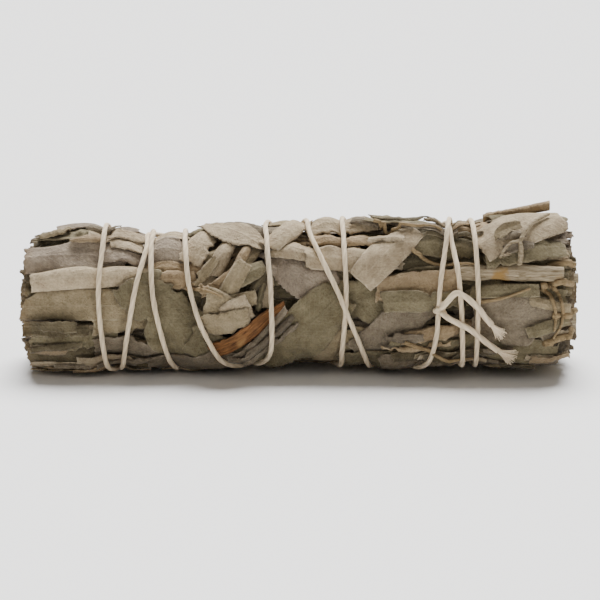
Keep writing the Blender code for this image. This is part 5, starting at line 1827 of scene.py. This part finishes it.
    def knot(self, mesh: MeshPile, lies: float) -> None:
        """The knot: two round turns and a hitch, each an ellipse round the strands in its place.

        Args:
            mesh: the mesh that gets it.
            lies: radius of its middle, mm.
        """
        t = np.linspace(0, 2 * math.pi * 1.02, 60)
        for number, (dx, ds, wide, high, tilt) in enumerate(self.knot_turns):
            flat, lift = wide * np.cos(t), high * np.sin(t)
            x = self.route.knot[0] + dx + flat * math.cos(tilt) + 0.35 * np.sin(t) * math.sin(tilt)
            angle = math.radians(self.route.knot[1]) + (ds + flat * math.sin(tilt)) / ROUND
            self.strand(mesh, x, angle, lies - 0.1 + lift, self.knot_radius, 20 + number)


@dataclass
class Studio:
    """Pale floor, soft light from above, and the camera.

    The target is in mm from the bunch's middle on the floor. Each light has its
    elevation, turn and spread in degrees, and its strength in watts a square metre.
    """

    space: BunchSpace
    elevation: float = 12.0
    distance: float = 900.0
    lens: float = 200.0
    target: tuple = (0.4, 0.0, 17.8)
    floor_reach: float = 40.0
    floor_white: str = "#F7F7F7"
    overhead: tuple = (60.0, 174.0, 40.0, 8.8)
    front_fill: tuple = (40.0, 14.0, 70.0, 0.45)
    room: str = "#FFF1DC"
    room_strength: float = 0.17

    def floor(self) -> None:
        """The floor as one wide plane, so that it fills the picture."""
        reach = self.floor_reach
        mesh = bpy.data.meshes.new("studio_floor")
        corners = [(-reach, -reach, 0), (reach, -reach, 0), (reach, reach, 0), (-reach, reach, 0)]
        mesh.from_pydata(corners, [], [(0, 1, 2, 3)])
        obj = bpy.data.objects.new("studio_floor", mesh)
        bpy.context.scene.collection.objects.link(obj)
        paper = bpy.data.materials.new("white paper")
        paper.use_nodes = True
        shader = paper.node_tree.nodes["Principled BSDF"]
        shader.inputs["Base Color"].default_value = rgba(self.floor_white)
        shader.inputs["Roughness"].default_value = 0.9
        mesh.materials.append(paper)

    def sun(self, name: str, elevation: float, turn: float, spread: float, strength: float) -> None:
        """Soft far light.

        Args:
            name: the light's name.
            elevation: its height over the horizon, degrees.
            turn: its direction, degrees from the front towards the right.
            spread: how wide it looks, degrees.
            strength: power on a square metre facing it, watts.
        """
        lamp = bpy.data.lights.new(name, "SUN")
        lamp.angle = math.radians(spread)
        lamp.energy = strength
        obj = bpy.data.objects.new(name, lamp)
        bpy.context.scene.collection.objects.link(obj)
        obj.location = (0, 0, 1)
        obj.rotation_euler = (math.radians(90 - elevation), 0, math.radians(turn))

    def camera(self) -> None:
        """The camera: ahead of the bunch, raised by the elevation, with a long lens."""
        data = bpy.data.cameras.new("camera")
        data.lens = self.lens
        data.sensor_width = 36.0
        data.clip_start = 0.01
        obj = bpy.data.objects.new("camera", data)
        bpy.context.scene.collection.objects.link(obj)
        up = math.radians(self.elevation)
        target = (np.array(self.target) + [*self.space.shift, 0.0]) * MM
        away = np.array([0.0, -math.cos(up), math.sin(up)]) * self.distance * MM
        obj.location = target + away
        obj.rotation_euler = (math.radians(90 - self.elevation), 0, 0)
        bpy.context.scene.camera = obj

    def build(self) -> None:
        """Set the floor, the lights and the camera."""
        self.floor()
        self.camera()
        self.sun("overhead_softbox", *self.overhead)
        self.sun("front_fill", *self.front_fill)
        world = bpy.data.worlds.new("studio")
        world.use_nodes = True
        background = world.node_tree.nodes["Background"]
        background.inputs["Color"].default_value = rgba(self.room)
        background.inputs["Strength"].default_value = self.room_strength
        bpy.context.scene.world = world


def main() -> None:
    """Build the studio, then the bunch in it from the inside out."""
    logging.basicConfig(level=logging.INFO, format="%(message)s")
    route = StringRoute()
    space = BunchSpace(route)
    Studio(space).build()
    pile = Pile(space, 6.3)
    dresser = Dresser()
    maker = LeafMaker(space, pile)
    LeafyStems(maker, dresser).build()
    wood = WoodyParts(space, pile, dresser)
    wood.inner_stems()
    wood.thick_stem()
    leaves = [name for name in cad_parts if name.startswith("outer_leaf")]
    OuterLeaves(maker, dresser).build(leaves)
    wood.bark(maker)
    wood.twig()
    wood.stalks()
    wood.top_roll()
    CottonString(space, pile, dresser, route).build()


if __name__ == "__main__":
    main()
